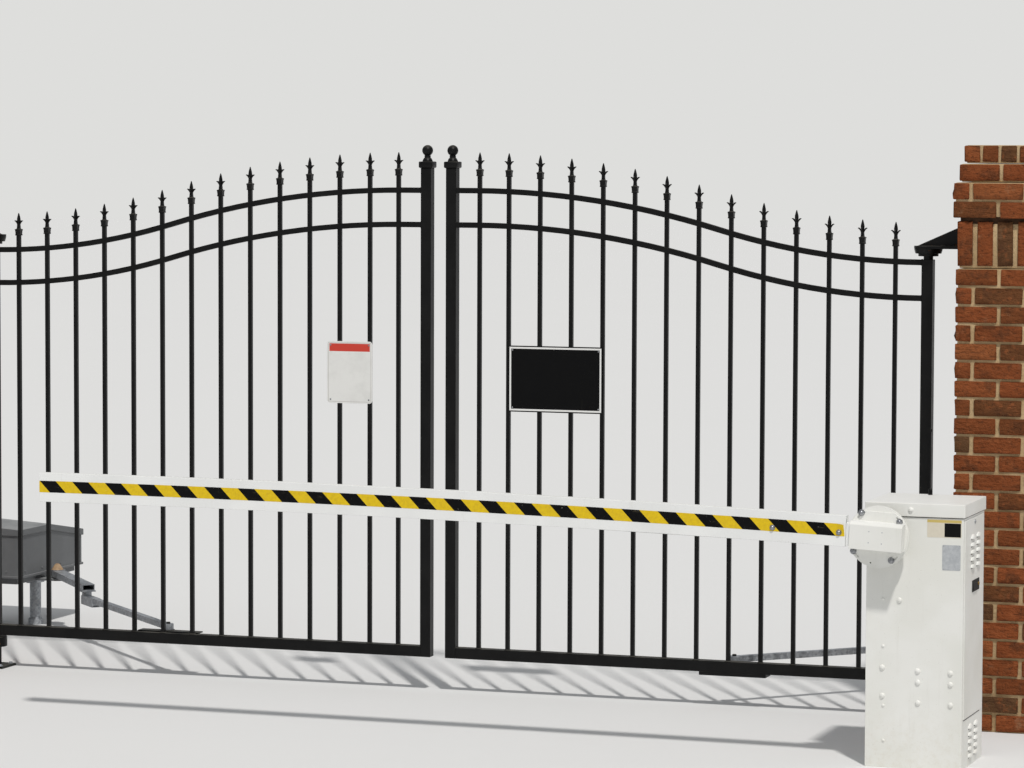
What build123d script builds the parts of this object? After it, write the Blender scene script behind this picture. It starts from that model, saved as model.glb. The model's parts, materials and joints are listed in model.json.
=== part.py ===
"""Automatic security gate: two ornamental steel leaves between brick posts, each opened by a
post-mounted operator with an articulated arm, and a barrier with a striped boom in front.

The origin is the middle of the right-hand post's foot. +X runs to the right along the gate,
+Y runs inwards, away from the road, and +Z is up. Lengths are in millimetres.
"""
from build123d import *
from math import acos, atan, atan2, cos, degrees, hypot, radians, sin, sqrt
import os

# Masonry posts
COURSE = 81.3
BRICK = 203.2
POST_SIZE = 3 * BRICK
COURSES_BELOW = 25
SOLDIER_HEIGHT = 212.7
SOLDIER_INSET = 5.0
CORBEL_COURSES = 2
CORBEL_OUT = 11.0
CAP_INSETS = (10.0, 28.0)
OPENING = 5018.0

# Leaf frame
LEAF_CLEARANCE = 160.0
TUBE = 50.8
MEETING_GAP = 74.0
PICKET = 19.05
PICKETS = 14
PICKET_PITCH = 152.4
FIRST_PICKET = 139.0
SECOND_PICKET = 282.4
LAST_GAP = 146.0
RAIL = 25.4
RAIL_DROP = 160.0
RAIL_HIGH = 2202.0
RAIL_RISE = 304.0
RAIL_FLAT = 90.0
RAIL_LOW_RUN = 935.0
PUNCH_CLEARANCE = 0.3

# Post caps and finials
STILE_TOP = 2293.0
CAP_SIZE = 64.0
CAP_HEIGHT = 33.0
CAP_BEVEL = 9.0
CONE_HEIGHT = 16.0
CONE_TOP = 32.0
NECK_SIZE = 26.0
NECK_HEIGHT = 12.0
BALL = 50.0
BALL_SINK = 3.0
PICKET_STUB = 57.0
COLLAR_BAND = 31.0
COLLAR_BAND_HEIGHT = 8.0
COLLAR_BODY = 27.0
COLLAR_LIP = 33.0
COLLAR_CUP_HEIGHT = 18.0
COLLAR_CROWN_HEIGHT = 7.0
SPEAR_HEIGHT = 70.0
SPEAR_STEM = 15.0
STEM_TOP = 20.0
LEAF_SPAN = 42.0
LEAF_TIP = 32.0
LEAF_BEND = 26.0
LEAF_BEND_LEVEL = 36.0
SPEAR_WAIST = 11.0
WAIST_LEVEL = 30.0
SPEAR_WIDTH = 17.0
SPEAR_BELLY = 42.0
SPEAR_SHOULDER = 12.0
SHOULDER_LEVEL = 57.0
SPEAR_THICKNESS = 8.0

# Hinges
PIN = 43.0
PIN_CLEARANCE = 0.5
PIN_DEPTH = 30.0
NECK_RISE = 15.0
BEARING = 128.0
BEARING_FOOT = 116.0
BEARING_HEIGHT = 22.0
BEARING_STEP = 90.0
BEARING_STEP_HEIGHT = 12.0
BRACKET_PLATE = 12.0
BRACKET_WIDTH = 120.0
GUSSET_RISE = 103.0
GUSSET_START = 49.0
WALL_PLATE_WIDTH = 160.0
WALL_PLATE_HEIGHT = 170.0
WALL_PLATE_DROP = 62.0
FOOT_BEARING = 116.0
FOOT_BEARING_HEIGHT = 48.0
FOOT_NECK = 10.0
FOOT_PLATE = 150.0
FOOT_PLATE_THICKNESS = 12.0
PEDESTAL = 60.0

# Leaf operators: places are measured from the hinge axis
SHAFT_OUT = 364.0
SHAFT_BACK = 1427.0
CRANK_LENGTH = 648.0
LINK_LENGTH = 1214.0
ARM_REACH = 900.0
ARM_STANDOFF = 62.0
CRANK_LEVEL = 290.0
CRANK_WIDTH = 64.0
CRANK_HEIGHT = 32.0
CRANK_WALL = 4.0
CRANK_TAIL = 38.0
CRANK_RISE = 9.5
RIGHT_LINK_LEVEL = 213.0
LEFT_LINK_LEVEL = 231.5
LINK_TUBE = 32.0
LINK_SLEEVE = 44.0
LINK_SLEEVE_RUN = 150.0
LINK_SLEEVE_HEIGHT = 36.0
LINK_EYE = 52.0
LINK_HEIGHT = 28.0
ELBOW_PIN = 50.0
LINK_SEAT = 0.3
ELBOW_GAP = 0.8
ELBOW_PLATE = 76.0
ELBOW_PLATE_THICKNESS = 6.0
SHAFT = 40.0
CONE_CAP = 62.0
CONE_CAP_HEIGHT = 32.0
CONE_CAP_TOP = 20.0
HOUSING_LENGTH = 740.0
HOUSING_WIDTH = 450.0
HOUSING_BOTTOM = 290.0
HOUSING_HEIGHT = 240.0
HOUSING_FACE = 75.0
HOUSING_AHEAD = 290.0
HOOD_OVERHANG = 8.0
HOOD_SKIRT = 20.0
HOOD_RISE = 14.0
HOOD_FALL = 64.0
HOOD_CROWN = 30.0
HOOD_LEVEL_RUN = 340.0
BASE_THICKNESS = 12.0
BASE_INSET = 30.0
TONGUE_WIDTH = 110.0
PIPE = 60.3
PIPE_SPACING = 260.0
PIPE_COLLAR = 76.0
PIPE_COLLAR_HEIGHT = 30.0
ARM_PLATE_LENGTH = 316.0
RIGHT_PLATE_SHIFT = 14.0
RIGHT_PLATE_THICKNESS = 16.0
LEFT_PLATE_SHIFT = 24.0
LEFT_PLATE_THICKNESS = 6.0
PLATE_SETBACK = 2.0
ARM_PIN = 20.0
ARM_PIN_EYE = 64.0
ARM_PIN_SPACER = 52.0
ARM_PIN_PROUD = 8.0

# Signs
SIGN_THICKNESS = 3.0
NOTICE_WIDTH = 229.0
NOTICE_HEIGHT = 292.0
NOTICE_MIDDLE = 443.0
NOTICE_LEVEL = 1491.0
NOTICE_CORNER = 16.0
PANEL_WIDTH = 458.0
PANEL_HEIGHT = 307.0
PANEL_MIDDLE = 577.0
PANEL_LEVEL = 1481.0
PANEL_CORNER = 12.0

# Barrier operator
CABINET_WIDTH = 406.0
CABINET_DEPTH = 406.0
CABINET_LEFT = 2375.0
CABINET_AHEAD = 1347.7
CABINET_HEIGHT = 1044.0
LID_HEIGHT = 51.0
LID_OVERHANG = 6.5
DOOR_INSET = 22.0
DOOR_THICKNESS = 6.0
DOOR_BOTTOM = 208.0
DOOR_TOP_GAP = 14.0
DOOR_SEAM = 1.0
HUB_RIGHT = 65.0
HUB_LEVEL = 962.0
HUB = 257.0
HUB_GAP = 60.0
HUB_THICKNESS = 12.0
HUB_SHAFT = 60.0
HUB_RIM = 4.0
FACE_PLATE_HEIGHT = 208.0
FACE_PLATE_THICKNESS = 10.0
CLAMP_TILT = 3.0
CLAMP_LENGTH = 221.0
CLAMP_SHIFT = 3.5
CLAMP_HEIGHT = 122.0
CLAMP_DEPTH = 58.0
CLAMP_BEVEL = 15.0
BOOM_LENGTH = 3658.0
BOOM_HEIGHT = 127.0
BOOM_DEPTH = 45.0
BOOM_WALL = 3.0
BOOM_GAP = 15.5
BOOM_REST = 2.0
BOOM_LIFT = 21.0
BOOM_DROOP = 70.0
STUB_HEIGHT = 94.0
STUB_TRIM = 10.0
STUB_DEPTH = 34.0
STUB_RUN = 380.0
ANTENNA_BASE = 24.0
ANTENNA_BASE_HEIGHT = 12.0
ANTENNA_HEIGHT = 258.0
ANTENNA_ROD = 3.0
ANTENNA_TIP = 8.0
ANTENNA_TIP_HEIGHT = 12.0
ANTENNA_BACK = 380.0
ANTENNA_RIGHT = 208.0

# Derived places
MID_X = -(OPENING + POST_SIZE) / 2
MIDDLE = Plane.YZ.offset(MID_X)
PICKET_RUN = SECOND_PICKET + (PICKETS - 2) * PICKET_PITCH + LAST_GAP
MEETING_X = MID_X + (MEETING_GAP + TUBE) / 2
HINGE_X = MEETING_X + PICKET_RUN
POST_FACE_X = -POST_SIZE / 2
FRAME_FRONT = -TUBE / 2
RAIL_MIDDLE_Y = FRAME_FRONT + RAIL / 2
BOTTOM_RAIL_TOP = LEAF_CLEARANCE + TUBE
RAIL_LOW = RAIL_HIGH - RAIL_RISE
HINGE_STILE_TOP = LEAF_CLEARANCE + RAIL_LOW

os.makedirs("parts", exist_ok=True)


def save(piece, label):
    """Label a piece and write it under that name."""
    piece.part.label = label
    export_step(piece.part, f"parts/{label}.step")


def save_mirrored(piece, label):
    """Write the mirror image of a piece across the middle of the opening."""
    with BuildPart() as twin:
        mirror(piece.part, about=MIDDLE)
    save(twin, label)


def save_pair(piece, label):
    """Write the right-hand piece and its mirror image."""
    save(piece, f"right_{label}")
    save_mirrored(piece, f"left_{label}")


# The rails are two tangent arcs, level where they meet both stiles.
rail_start = MEETING_X + TUBE / 2
rail_end = HINGE_X - TUBE / 2
curve_start = rail_start + RAIL_FLAT
rail_turn = 2 * atan(RAIL_RISE / (rail_end - curve_start))
low_radius = RAIL_LOW_RUN / sin(rail_turn)
high_radius = (rail_end - curve_start - RAIL_LOW_RUN) / sin(rail_turn)
reflex_x = rail_end - RAIL_LOW_RUN


def rail_top(x):
    """Height of the upper rail's top edge above the leaf's foot."""
    if x < curve_start:
        return RAIL_HIGH
    if x < reflex_x:
        return RAIL_HIGH - high_radius + sqrt(high_radius**2 - (x - curve_start)**2)
    return RAIL_LOW + low_radius - sqrt(low_radius**2 - (rail_end - x)**2)


def picket_x(index):
    """Middle of a picket, counted from the meeting stile; the first one has a place of its own."""
    if index == 0:
        return MEETING_X + FIRST_PICKET
    return MEETING_X + SECOND_PICKET + (index - 1) * PICKET_PITCH


def curved_rail(top_offset):
    """One ogee rail, punched for the pickets, its top edge this far below the upper rail's."""
    high = LEAF_CLEARANCE + RAIL_HIGH - top_offset
    low = LEAF_CLEARANCE + RAIL_LOW - top_offset
    with BuildPart() as rail:
        with BuildSketch(Plane.XZ.offset(-FRAME_FRONT)):
            with BuildLine():
                turn = rail_turn
                upper_reflex = (reflex_x, high - high_radius * (1 - cos(turn)))
                lower_reflex = (reflex_x - RAIL * sin(turn), upper_reflex[1] - RAIL * cos(turn))
                upper_mid = (curve_start + high_radius * sin(turn / 2),
                             high - high_radius * (1 - cos(turn / 2)))
                lower_mid = (upper_mid[0] - RAIL * sin(turn / 2), upper_mid[1] - RAIL * cos(turn / 2))
                upper_end = (rail_end, low)
                lower_end = (rail_end, low - RAIL)
                upper_sag = (rail_end - low_radius * sin(turn / 2),
                             low + low_radius * (1 - cos(turn / 2)))
                lower_sag = (upper_sag[0] - RAIL * sin(turn / 2), upper_sag[1] - RAIL * cos(turn / 2))
                Line((rail_start, high), (curve_start, high))
                ThreePointArc((curve_start, high), upper_mid, upper_reflex)
                ThreePointArc(upper_reflex, upper_sag, upper_end)
                Line(upper_end, lower_end)
                ThreePointArc(lower_end, lower_sag, lower_reflex)
                ThreePointArc(lower_reflex, lower_mid, (curve_start, high - RAIL))
                Line((curve_start, high - RAIL), (rail_start, high - RAIL))
                Line((rail_start, high - RAIL), (rail_start, high))
            make_face()
        extrude(amount=-RAIL)
        with BuildSketch(Plane.XY):
            with Locations(*[(picket_x(i), RAIL_MIDDLE_Y) for i in range(PICKETS)]):
                Rectangle(PICKET + 2 * PUNCH_CLEARANCE, PICKET + 2 * PUNCH_CLEARANCE)
        extrude(amount=LEAF_CLEARANCE + 2 * RAIL_HIGH, mode=Mode.SUBTRACT)
    return rail


# Brick posts: plain shaft, recessed soldier course, two corbelled courses and a stepped top
shaft_top = COURSES_BELOW * COURSE
soldier_top = shaft_top + SOLDIER_HEIGHT
corbel_top = soldier_top + CORBEL_COURSES * COURSE
with BuildPart() as post:
    with BuildSketch(Plane.XY):
        Rectangle(POST_SIZE, POST_SIZE)
    extrude(amount=shaft_top)
    with BuildSketch(Plane.XY.offset(shaft_top)):
        Rectangle(POST_SIZE - 2 * SOLDIER_INSET, POST_SIZE - 2 * SOLDIER_INSET)
    extrude(amount=SOLDIER_HEIGHT)
    with BuildSketch(Plane.XY.offset(soldier_top)):
        Rectangle(POST_SIZE + 2 * CORBEL_OUT, POST_SIZE + 2 * CORBEL_OUT)
    extrude(amount=CORBEL_COURSES * COURSE)
    for step, inset in enumerate(CAP_INSETS):
        with BuildSketch(Plane.XY.offset(corbel_top + step * COURSE)):
            Rectangle(POST_SIZE - 2 * inset, POST_SIZE - 2 * inset)
        extrude(amount=COURSE)
save_pair(post, "post")

# Meeting stile with its moulded cap, neck and ball
stile_top_z = LEAF_CLEARANCE + STILE_TOP
with BuildPart() as meeting_stile:
    with BuildSketch(Plane.XY.offset(LEAF_CLEARANCE)):
        with Locations((MEETING_X, 0)):
            Rectangle(TUBE, TUBE)
    extrude(amount=STILE_TOP)
    with BuildSketch(Plane.XY.offset(stile_top_z)):
        with Locations((MEETING_X, 0)):
            Rectangle(TUBE, TUBE)
    with BuildSketch(Plane.XY.offset(stile_top_z + CAP_BEVEL)):
        with Locations((MEETING_X, 0)):
            Rectangle(CAP_SIZE, CAP_SIZE)
    loft()
    with BuildSketch(Plane.XY.offset(stile_top_z + CAP_BEVEL)):
        with Locations((MEETING_X, 0)):
            Rectangle(CAP_SIZE, CAP_SIZE)
    extrude(amount=CAP_HEIGHT - CAP_BEVEL)
    cap_top = stile_top_z + CAP_HEIGHT
    ball_middle = cap_top + CONE_HEIGHT + NECK_HEIGHT + BALL / 2 - BALL_SINK
    with BuildSketch(Plane.XZ) as ball_profile:
        with BuildLine():
            join = sqrt((BALL / 2)**2 - (NECK_SIZE / 2)**2)
            Polyline((MEETING_X, cap_top), (MEETING_X + CAP_SIZE / 2 - CAP_BEVEL, cap_top),
                     (MEETING_X + CONE_TOP / 2, cap_top + CONE_HEIGHT),
                     (MEETING_X + NECK_SIZE / 2, cap_top + CONE_HEIGHT),
                     (MEETING_X + NECK_SIZE / 2, ball_middle - join))
            ThreePointArc((MEETING_X + NECK_SIZE / 2, ball_middle - join),
                          (MEETING_X + BALL / 2, ball_middle), (MEETING_X, ball_middle + BALL / 2))
            Line((MEETING_X, ball_middle + BALL / 2), (MEETING_X, cap_top))
        make_face()
    revolve(axis=Axis((MEETING_X, 0, 0), (0, 0, 1)))
save_pair(meeting_stile, "meeting_stile")

# Hinge stile with its top and bottom pins
neck_top = HINGE_STILE_TOP + NECK_RISE
foot_bearing_top = LEAF_CLEARANCE - FOOT_NECK
with BuildPart() as hinge_stile:
    with BuildSketch(Plane.XY.offset(LEAF_CLEARANCE)):
        with Locations((HINGE_X, 0)):
            Rectangle(TUBE, TUBE)
    extrude(amount=RAIL_LOW)
    with BuildSketch(Plane.XY.offset(foot_bearing_top - PIN_DEPTH)):
        with Locations((HINGE_X, 0)):
            Circle(PIN / 2)
    extrude(amount=FOOT_NECK + PIN_DEPTH)
    with BuildSketch(Plane.XY.offset(HINGE_STILE_TOP)):
        with Locations((HINGE_X, 0)):
            Circle(PIN / 2)
    extrude(amount=NECK_RISE + PIN_DEPTH)
save_pair(hinge_stile, "hinge_stile")

# Bottom rail
with BuildPart() as bottom_rail:
    with BuildSketch(Plane.YZ.offset(rail_start)):
        with Locations((0, LEAF_CLEARANCE + TUBE / 2)):
            Rectangle(TUBE, TUBE)
    extrude(amount=rail_end - rail_start)
save_pair(bottom_rail, "bottom_rail")

# Curved rails
top_rail = curved_rail(0)
save_pair(top_rail, "top_rail")
lower_rail = curved_rail(RAIL_DROP)
save_pair(lower_rail, "lower_rail")

# Pickets, each with a square collar and a four-leaved spear
spear_outline = ((0, SPEAR_HEIGHT), (SPEAR_SHOULDER / 2, SHOULDER_LEVEL), (SPEAR_WIDTH / 2, SPEAR_BELLY),
                 (SPEAR_WAIST / 2, WAIST_LEVEL), (LEAF_BEND / 2, LEAF_BEND_LEVEL), (LEAF_SPAN / 2, LEAF_TIP),
                 (SPEAR_STEM / 2, STEM_TOP), (SPEAR_STEM / 2, 0))
collar_height = COLLAR_BAND_HEIGHT + COLLAR_CUP_HEIGHT + COLLAR_CROWN_HEIGHT
with BuildPart() as pickets:
    for i in range(PICKETS):
        x = picket_x(i)
        collar_foot = LEAF_CLEARANCE + rail_top(x) + PICKET_STUB
        spear_foot = collar_foot + collar_height
        with BuildSketch(Plane.XY.offset(BOTTOM_RAIL_TOP)):
            with Locations((x, RAIL_MIDDLE_Y)):
                Rectangle(PICKET, PICKET)
        extrude(amount=collar_foot - BOTTOM_RAIL_TOP)
        cup_foot = collar_foot + COLLAR_BAND_HEIGHT
        lip_level = cup_foot + COLLAR_CUP_HEIGHT
        with BuildSketch(Plane.XY.offset(collar_foot)):
            with Locations((x, RAIL_MIDDLE_Y)):
                Rectangle(COLLAR_BAND, COLLAR_BAND)
        extrude(amount=COLLAR_BAND_HEIGHT)
        for (low, low_width), (high, high_width) in (((cup_foot, COLLAR_BODY), (lip_level, COLLAR_LIP)),
                                                     ((lip_level, COLLAR_LIP), (spear_foot, SPEAR_STEM))):
            for level, width in ((low, low_width), (high, high_width)):
                with BuildSketch(Plane.XY.offset(level)):
                    with Locations((x, RAIL_MIDDLE_Y)):
                        Rectangle(width, width)
            loft(ruled=True)
        for facing in (Plane.XZ, Plane.YZ):
            blade = Plane(origin=(x, RAIL_MIDDLE_Y, spear_foot), x_dir=facing.x_dir, z_dir=facing.z_dir)
            with BuildSketch(blade):
                with BuildLine():
                    Polyline(*[(-u, v) for u, v in reversed(spear_outline[1:])], *spear_outline, close=True)
                make_face()
            extrude(amount=SPEAR_THICKNESS / 2, both=True)
save_pair(pickets, "pickets")

# Top hinge: bearing, with the bracket that carries it out from the post
bearing_foot = neck_top
bearing_top = bearing_foot + BEARING_STEP_HEIGHT + BEARING_HEIGHT
with BuildPart() as top_bearing:
    with BuildSketch(Plane.XY.offset(bearing_foot)):
        with Locations((HINGE_X, 0)):
            Circle(BEARING_STEP / 2)
    extrude(amount=BEARING_STEP_HEIGHT)
    with Locations((HINGE_X, 0, bearing_top - BEARING_HEIGHT / 2)):
        Cone(BEARING_FOOT / 2, BEARING / 2, BEARING_HEIGHT)
    with BuildSketch(Plane.XY.offset(bearing_foot)):
        with Locations((HINGE_X, 0)):
            Circle(PIN / 2 + PIN_CLEARANCE)
    extrude(amount=PIN_DEPTH + PIN_CLEARANCE, mode=Mode.SUBTRACT)
save_pair(top_bearing, "top_bearing")

with BuildPart() as top_bracket:
    plate_start = HINGE_X - BEARING / 2
    wall_plate_x = POST_FACE_X + SOLDIER_INSET - BRACKET_PLATE
    with BuildSketch(Plane.XY.offset(bearing_top)):
        with Locations((HINGE_X, 0)):
            Circle(BEARING / 2)
        with Locations(((HINGE_X + wall_plate_x) / 2, 0)):
            Rectangle(wall_plate_x - HINGE_X, BRACKET_WIDTH)
    extrude(amount=BRACKET_PLATE)
    with BuildSketch(Plane.XZ.offset(-BRACKET_PLATE / 2)):
        with BuildLine():
            gusset_foot = bearing_top + BRACKET_PLATE
            Polyline((HINGE_X - GUSSET_START, gusset_foot), (wall_plate_x, gusset_foot),
                     (wall_plate_x, gusset_foot + GUSSET_RISE), close=True)
        make_face()
    extrude(amount=BRACKET_PLATE)
    with BuildSketch(Plane.YZ.offset(wall_plate_x)):
        with Locations((0, bearing_top - WALL_PLATE_DROP + WALL_PLATE_HEIGHT / 2)):
            Rectangle(WALL_PLATE_WIDTH, WALL_PLATE_HEIGHT)
    extrude(amount=BRACKET_PLATE)
save_pair(top_bracket, "top_bracket")

# Bottom hinge: foot bearing on a pedestal and plate
with BuildPart() as foot_bearing:
    with BuildSketch(Plane.XY):
        with Locations((HINGE_X, 0)):
            Rectangle(FOOT_PLATE, FOOT_PLATE)
    extrude(amount=FOOT_PLATE_THICKNESS)
    with BuildSketch(Plane.XY.offset(FOOT_PLATE_THICKNESS)):
        with Locations((HINGE_X, 0)):
            Circle(PEDESTAL / 2)
    extrude(amount=foot_bearing_top - FOOT_BEARING_HEIGHT - FOOT_PLATE_THICKNESS)
    with BuildSketch(Plane.XY.offset(foot_bearing_top - FOOT_BEARING_HEIGHT)):
        with Locations((HINGE_X, 0)):
            Circle(FOOT_BEARING / 2)
    extrude(amount=FOOT_BEARING_HEIGHT)
    with BuildSketch(Plane.XY.offset(foot_bearing_top)):
        with Locations((HINGE_X, 0)):
            Circle(PIN / 2 + PIN_CLEARANCE)
    extrude(amount=-(PIN_DEPTH + PIN_CLEARANCE), mode=Mode.SUBTRACT)
save_pair(foot_bearing, "foot_bearing")

# Arm plates, each with the pin that takes the link: one under its bottom rail, one on top of it
arm_x = HINGE_X - ARM_REACH


def arm_plate(front, foot, thickness, shift, link_level):
    """A plate from this front edge back to the arm pin, its middle this far from the pin."""
    plate_top = foot + thickness
    link_foot = link_level - LINK_HEIGHT / 2 - LINK_SEAT
    with BuildPart() as plate:
        with BuildSketch(Plane.XY.offset(foot)):
            with Locations((arm_x + shift, (front + ARM_STANDOFF) / 2)):
                Rectangle(ARM_PLATE_LENGTH, ARM_STANDOFF - front)
            with Locations((arm_x, ARM_STANDOFF)):
                Circle(ARM_PIN_EYE / 2)
        extrude(amount=thickness)
        with BuildSketch(Plane.XY.offset(plate_top)):
            with Locations((arm_x, ARM_STANDOFF)):
                Circle(ARM_PIN_SPACER / 2)
        extrude(amount=link_foot - plate_top)
        with BuildSketch(Plane.XY.offset(link_foot)):
            with Locations((arm_x, ARM_STANDOFF)):
                Circle(ARM_PIN / 2)
        extrude(amount=LINK_SEAT + LINK_HEIGHT + ARM_PIN_PROUD)
    return plate


under_rail = LEAF_CLEARANCE - RIGHT_PLATE_THICKNESS
save(arm_plate(FRAME_FRONT, under_rail, RIGHT_PLATE_THICKNESS, RIGHT_PLATE_SHIFT, RIGHT_LINK_LEVEL),
     "right_arm_plate")
on_rail = BOTTOM_RAIL_TOP
save_mirrored(arm_plate(PLATE_SETBACK, on_rail, LEFT_PLATE_THICKNESS, -LEFT_PLATE_SHIFT, LEFT_LINK_LEVEL),
              "left_arm_plate")

# Closed position of the articulated arm, from its two lengths and the places of its ends
shaft_x = HINGE_X + SHAFT_OUT
reach = hypot(arm_x - shaft_x, ARM_STANDOFF - SHAFT_BACK)
reach_angle = atan2(ARM_STANDOFF - SHAFT_BACK, arm_x - shaft_x)
bend = acos((CRANK_LENGTH**2 + reach**2 - LINK_LENGTH**2) / (2 * CRANK_LENGTH * reach))
crank_angle = reach_angle + bend
elbow_x = shaft_x + CRANK_LENGTH * cos(crank_angle)
elbow_y = SHAFT_BACK + CRANK_LENGTH * sin(crank_angle)
link_angle = atan2(elbow_y - ARM_STANDOFF, elbow_x - arm_x)

crank_along = (cos(crank_angle), sin(crank_angle), 0)
crank_frame = Plane(origin=(shaft_x, SHAFT_BACK, CRANK_LEVEL), x_dir=crank_along)
link_along = (cos(link_angle), sin(link_angle), 0)


def crank(link_level):
    """An open rectangular tube on the output shaft, with the elbow boss down to the link."""
    elbow_foot = link_level + LINK_HEIGHT / 2 + ELBOW_GAP - CRANK_LEVEL
    with BuildPart() as arm:
        with BuildSketch(crank_frame.offset(-CRANK_HEIGHT / 2)):
            with Locations(((CRANK_LENGTH + CRANK_TAIL) / 2, 0)):
                Rectangle(CRANK_LENGTH + CRANK_TAIL, CRANK_WIDTH)
            Circle(CRANK_WIDTH / 2)
        extrude(amount=CRANK_HEIGHT)
        with BuildSketch(crank_frame.offset(-CRANK_HEIGHT / 2 + CRANK_WALL)):
            with Locations(((CRANK_LENGTH + CRANK_TAIL + SHAFT) / 2, 0)):
                Rectangle(CRANK_LENGTH + CRANK_TAIL - SHAFT, CRANK_WIDTH - 2 * CRANK_WALL)
        extrude(amount=CRANK_HEIGHT - 2 * CRANK_WALL, mode=Mode.SUBTRACT)
        with BuildSketch(crank_frame.offset(-CRANK_HEIGHT / 2)):
            Circle(SHAFT / 2)
        extrude(amount=-(BASE_THICKNESS + CRANK_RISE))
        with Locations((shaft_x, SHAFT_BACK, CRANK_LEVEL + (CRANK_HEIGHT + CONE_CAP_HEIGHT) / 2)):
            Cone(CONE_CAP / 2, CONE_CAP_TOP / 2, CONE_CAP_HEIGHT)
        with BuildSketch(crank_frame.offset(elbow_foot)):
            with Locations((CRANK_LENGTH, 0)):
                Circle(ELBOW_PIN / 2)
        extrude(amount=-CRANK_HEIGHT / 2 - elbow_foot)
        with BuildSketch(crank_frame.offset(-CRANK_HEIGHT / 2 - ELBOW_PLATE_THICKNESS)):
            with Locations((CRANK_LENGTH, 0)):
                Rectangle(ELBOW_PLATE, ELBOW_PLATE)
        extrude(amount=ELBOW_PLATE_THICKNESS)
    return arm


def link(link_level):
    """A sleeve and a thinner tube between the elbow and the arm pin."""
    link_frame = Plane(origin=(arm_x, ARM_STANDOFF, link_level), x_dir=link_along)
    with BuildPart() as rod:
        with BuildSketch(link_frame.offset(-LINK_HEIGHT / 2)):
            with Locations((0, 0), (LINK_LENGTH, 0)):
                Circle(LINK_EYE / 2)
            with Locations((LINK_LENGTH / 2, 0)):
                Rectangle(LINK_LENGTH, LINK_TUBE)
        extrude(amount=LINK_HEIGHT)
        with BuildSketch(link_frame.offset(LINK_HEIGHT / 2 - LINK_SLEEVE_HEIGHT)):
            with Locations((LINK_LENGTH - LINK_SLEEVE_RUN / 2, 0)):
                Rectangle(LINK_SLEEVE_RUN, LINK_SLEEVE)
        extrude(amount=LINK_SLEEVE_HEIGHT)
        with BuildSketch(link_frame.offset(-LINK_HEIGHT / 2)):
            Circle(ARM_PIN / 2 + PIN_CLEARANCE)
        extrude(amount=LINK_HEIGHT, mode=Mode.SUBTRACT)
    return rod


save(crank(RIGHT_LINK_LEVEL), "right_crank")
save_mirrored(crank(LEFT_LINK_LEVEL), "left_crank")
save(link(RIGHT_LINK_LEVEL), "right_link")
save_mirrored(link(LEFT_LINK_LEVEL), "left_link")

# Leaf operator: base with its tongue, housing, hood and two pipe legs
housing_face_x = shaft_x + HOUSING_FACE
housing_middle_x = housing_face_x + HOUSING_WIDTH / 2
housing_middle_y = SHAFT_BACK - HOUSING_AHEAD + HOUSING_LENGTH / 2
base_foot = CRANK_LEVEL - CRANK_HEIGHT / 2 - CRANK_RISE - BASE_THICKNESS
with BuildPart() as operator_base:
    with BuildSketch(Plane.XY.offset(base_foot)):
        with Locations((housing_middle_x, housing_middle_y)):
            Rectangle(HOUSING_WIDTH - 2 * BASE_INSET, HOUSING_LENGTH - 2 * BASE_INSET)
        with Locations(((shaft_x + housing_middle_x) / 2, SHAFT_BACK)):
            Rectangle(housing_middle_x - shaft_x, TONGUE_WIDTH)
        with Locations((shaft_x, SHAFT_BACK)):
            Circle(TONGUE_WIDTH / 2)
            Circle(SHAFT / 2 + PIN_CLEARANCE, mode=Mode.SUBTRACT)
    extrude(amount=BASE_THICKNESS)
    with BuildSketch(Plane.XY.offset(base_foot + BASE_THICKNESS)):
        with Locations((housing_middle_x, housing_middle_y)):
            Rectangle(HOUSING_WIDTH - 2 * BASE_INSET, HOUSING_LENGTH - 2 * BASE_INSET)
    extrude(amount=HOUSING_BOTTOM - base_foot - BASE_THICKNESS)
save_pair(operator_base, "operator_base")

far_y = housing_middle_y + HOUSING_LENGTH / 2
near_y = housing_middle_y - HOUSING_LENGTH / 2
slope_start = near_y + HOOD_LEVEL_RUN
housing_top = HOUSING_BOTTOM + HOUSING_HEIGHT
with BuildPart() as operator_housing:
    with BuildSketch(Plane.YZ.offset(housing_face_x)):
        with BuildLine():
            Polyline((near_y, HOUSING_BOTTOM), (far_y, HOUSING_BOTTOM), (far_y, housing_top - HOOD_FALL),
                     (slope_start, housing_top), (near_y, housing_top), close=True)
        make_face()
    extrude(amount=HOUSING_WIDTH)
save_pair(operator_housing, "operator_housing")

hood_far_y = far_y + HOOD_OVERHANG
hood_near_y = near_y - HOOD_OVERHANG
hood_fall = HOOD_FALL * (hood_far_y - slope_start) / (far_y - slope_start)
skirt_foot = housing_top - HOOD_SKIRT
hood_sides = ((housing_face_x - HOOD_OVERHANG, 0),
              (housing_face_x + HOUSING_WIDTH + HOOD_OVERHANG, HOOD_CROWN))
with BuildPart() as operator_hood:
    for hood_x, crown in hood_sides:
        hood_top = housing_top + HOOD_RISE + crown
        with BuildSketch(Plane.YZ.offset(hood_x)):
            with BuildLine():
                Polyline((hood_near_y, skirt_foot), (hood_near_y, hood_top), (slope_start, hood_top),
                         (hood_far_y, hood_top - hood_fall), (hood_far_y, skirt_foot - hood_fall),
                         (slope_start, skirt_foot), close=True)
            make_face()
    loft(ruled=True)
    add(operator_housing.part, mode=Mode.SUBTRACT)
save_pair(operator_hood, "operator_hood")

with BuildPart() as operator_legs:
    for x in (housing_middle_x - PIPE_SPACING / 2, housing_middle_x + PIPE_SPACING / 2):
        with BuildSketch(Plane.XY):
            with Locations((x, housing_middle_y)):
                Circle(PIPE_COLLAR / 2)
        extrude(amount=PIPE_COLLAR_HEIGHT)
        with BuildSketch(Plane.XY.offset(PIPE_COLLAR_HEIGHT)):
            with Locations((x, housing_middle_y)):
                Circle(PIPE / 2)
        extrude(amount=base_foot - PIPE_COLLAR_HEIGHT)
save_pair(operator_legs, "operator_legs")

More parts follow.
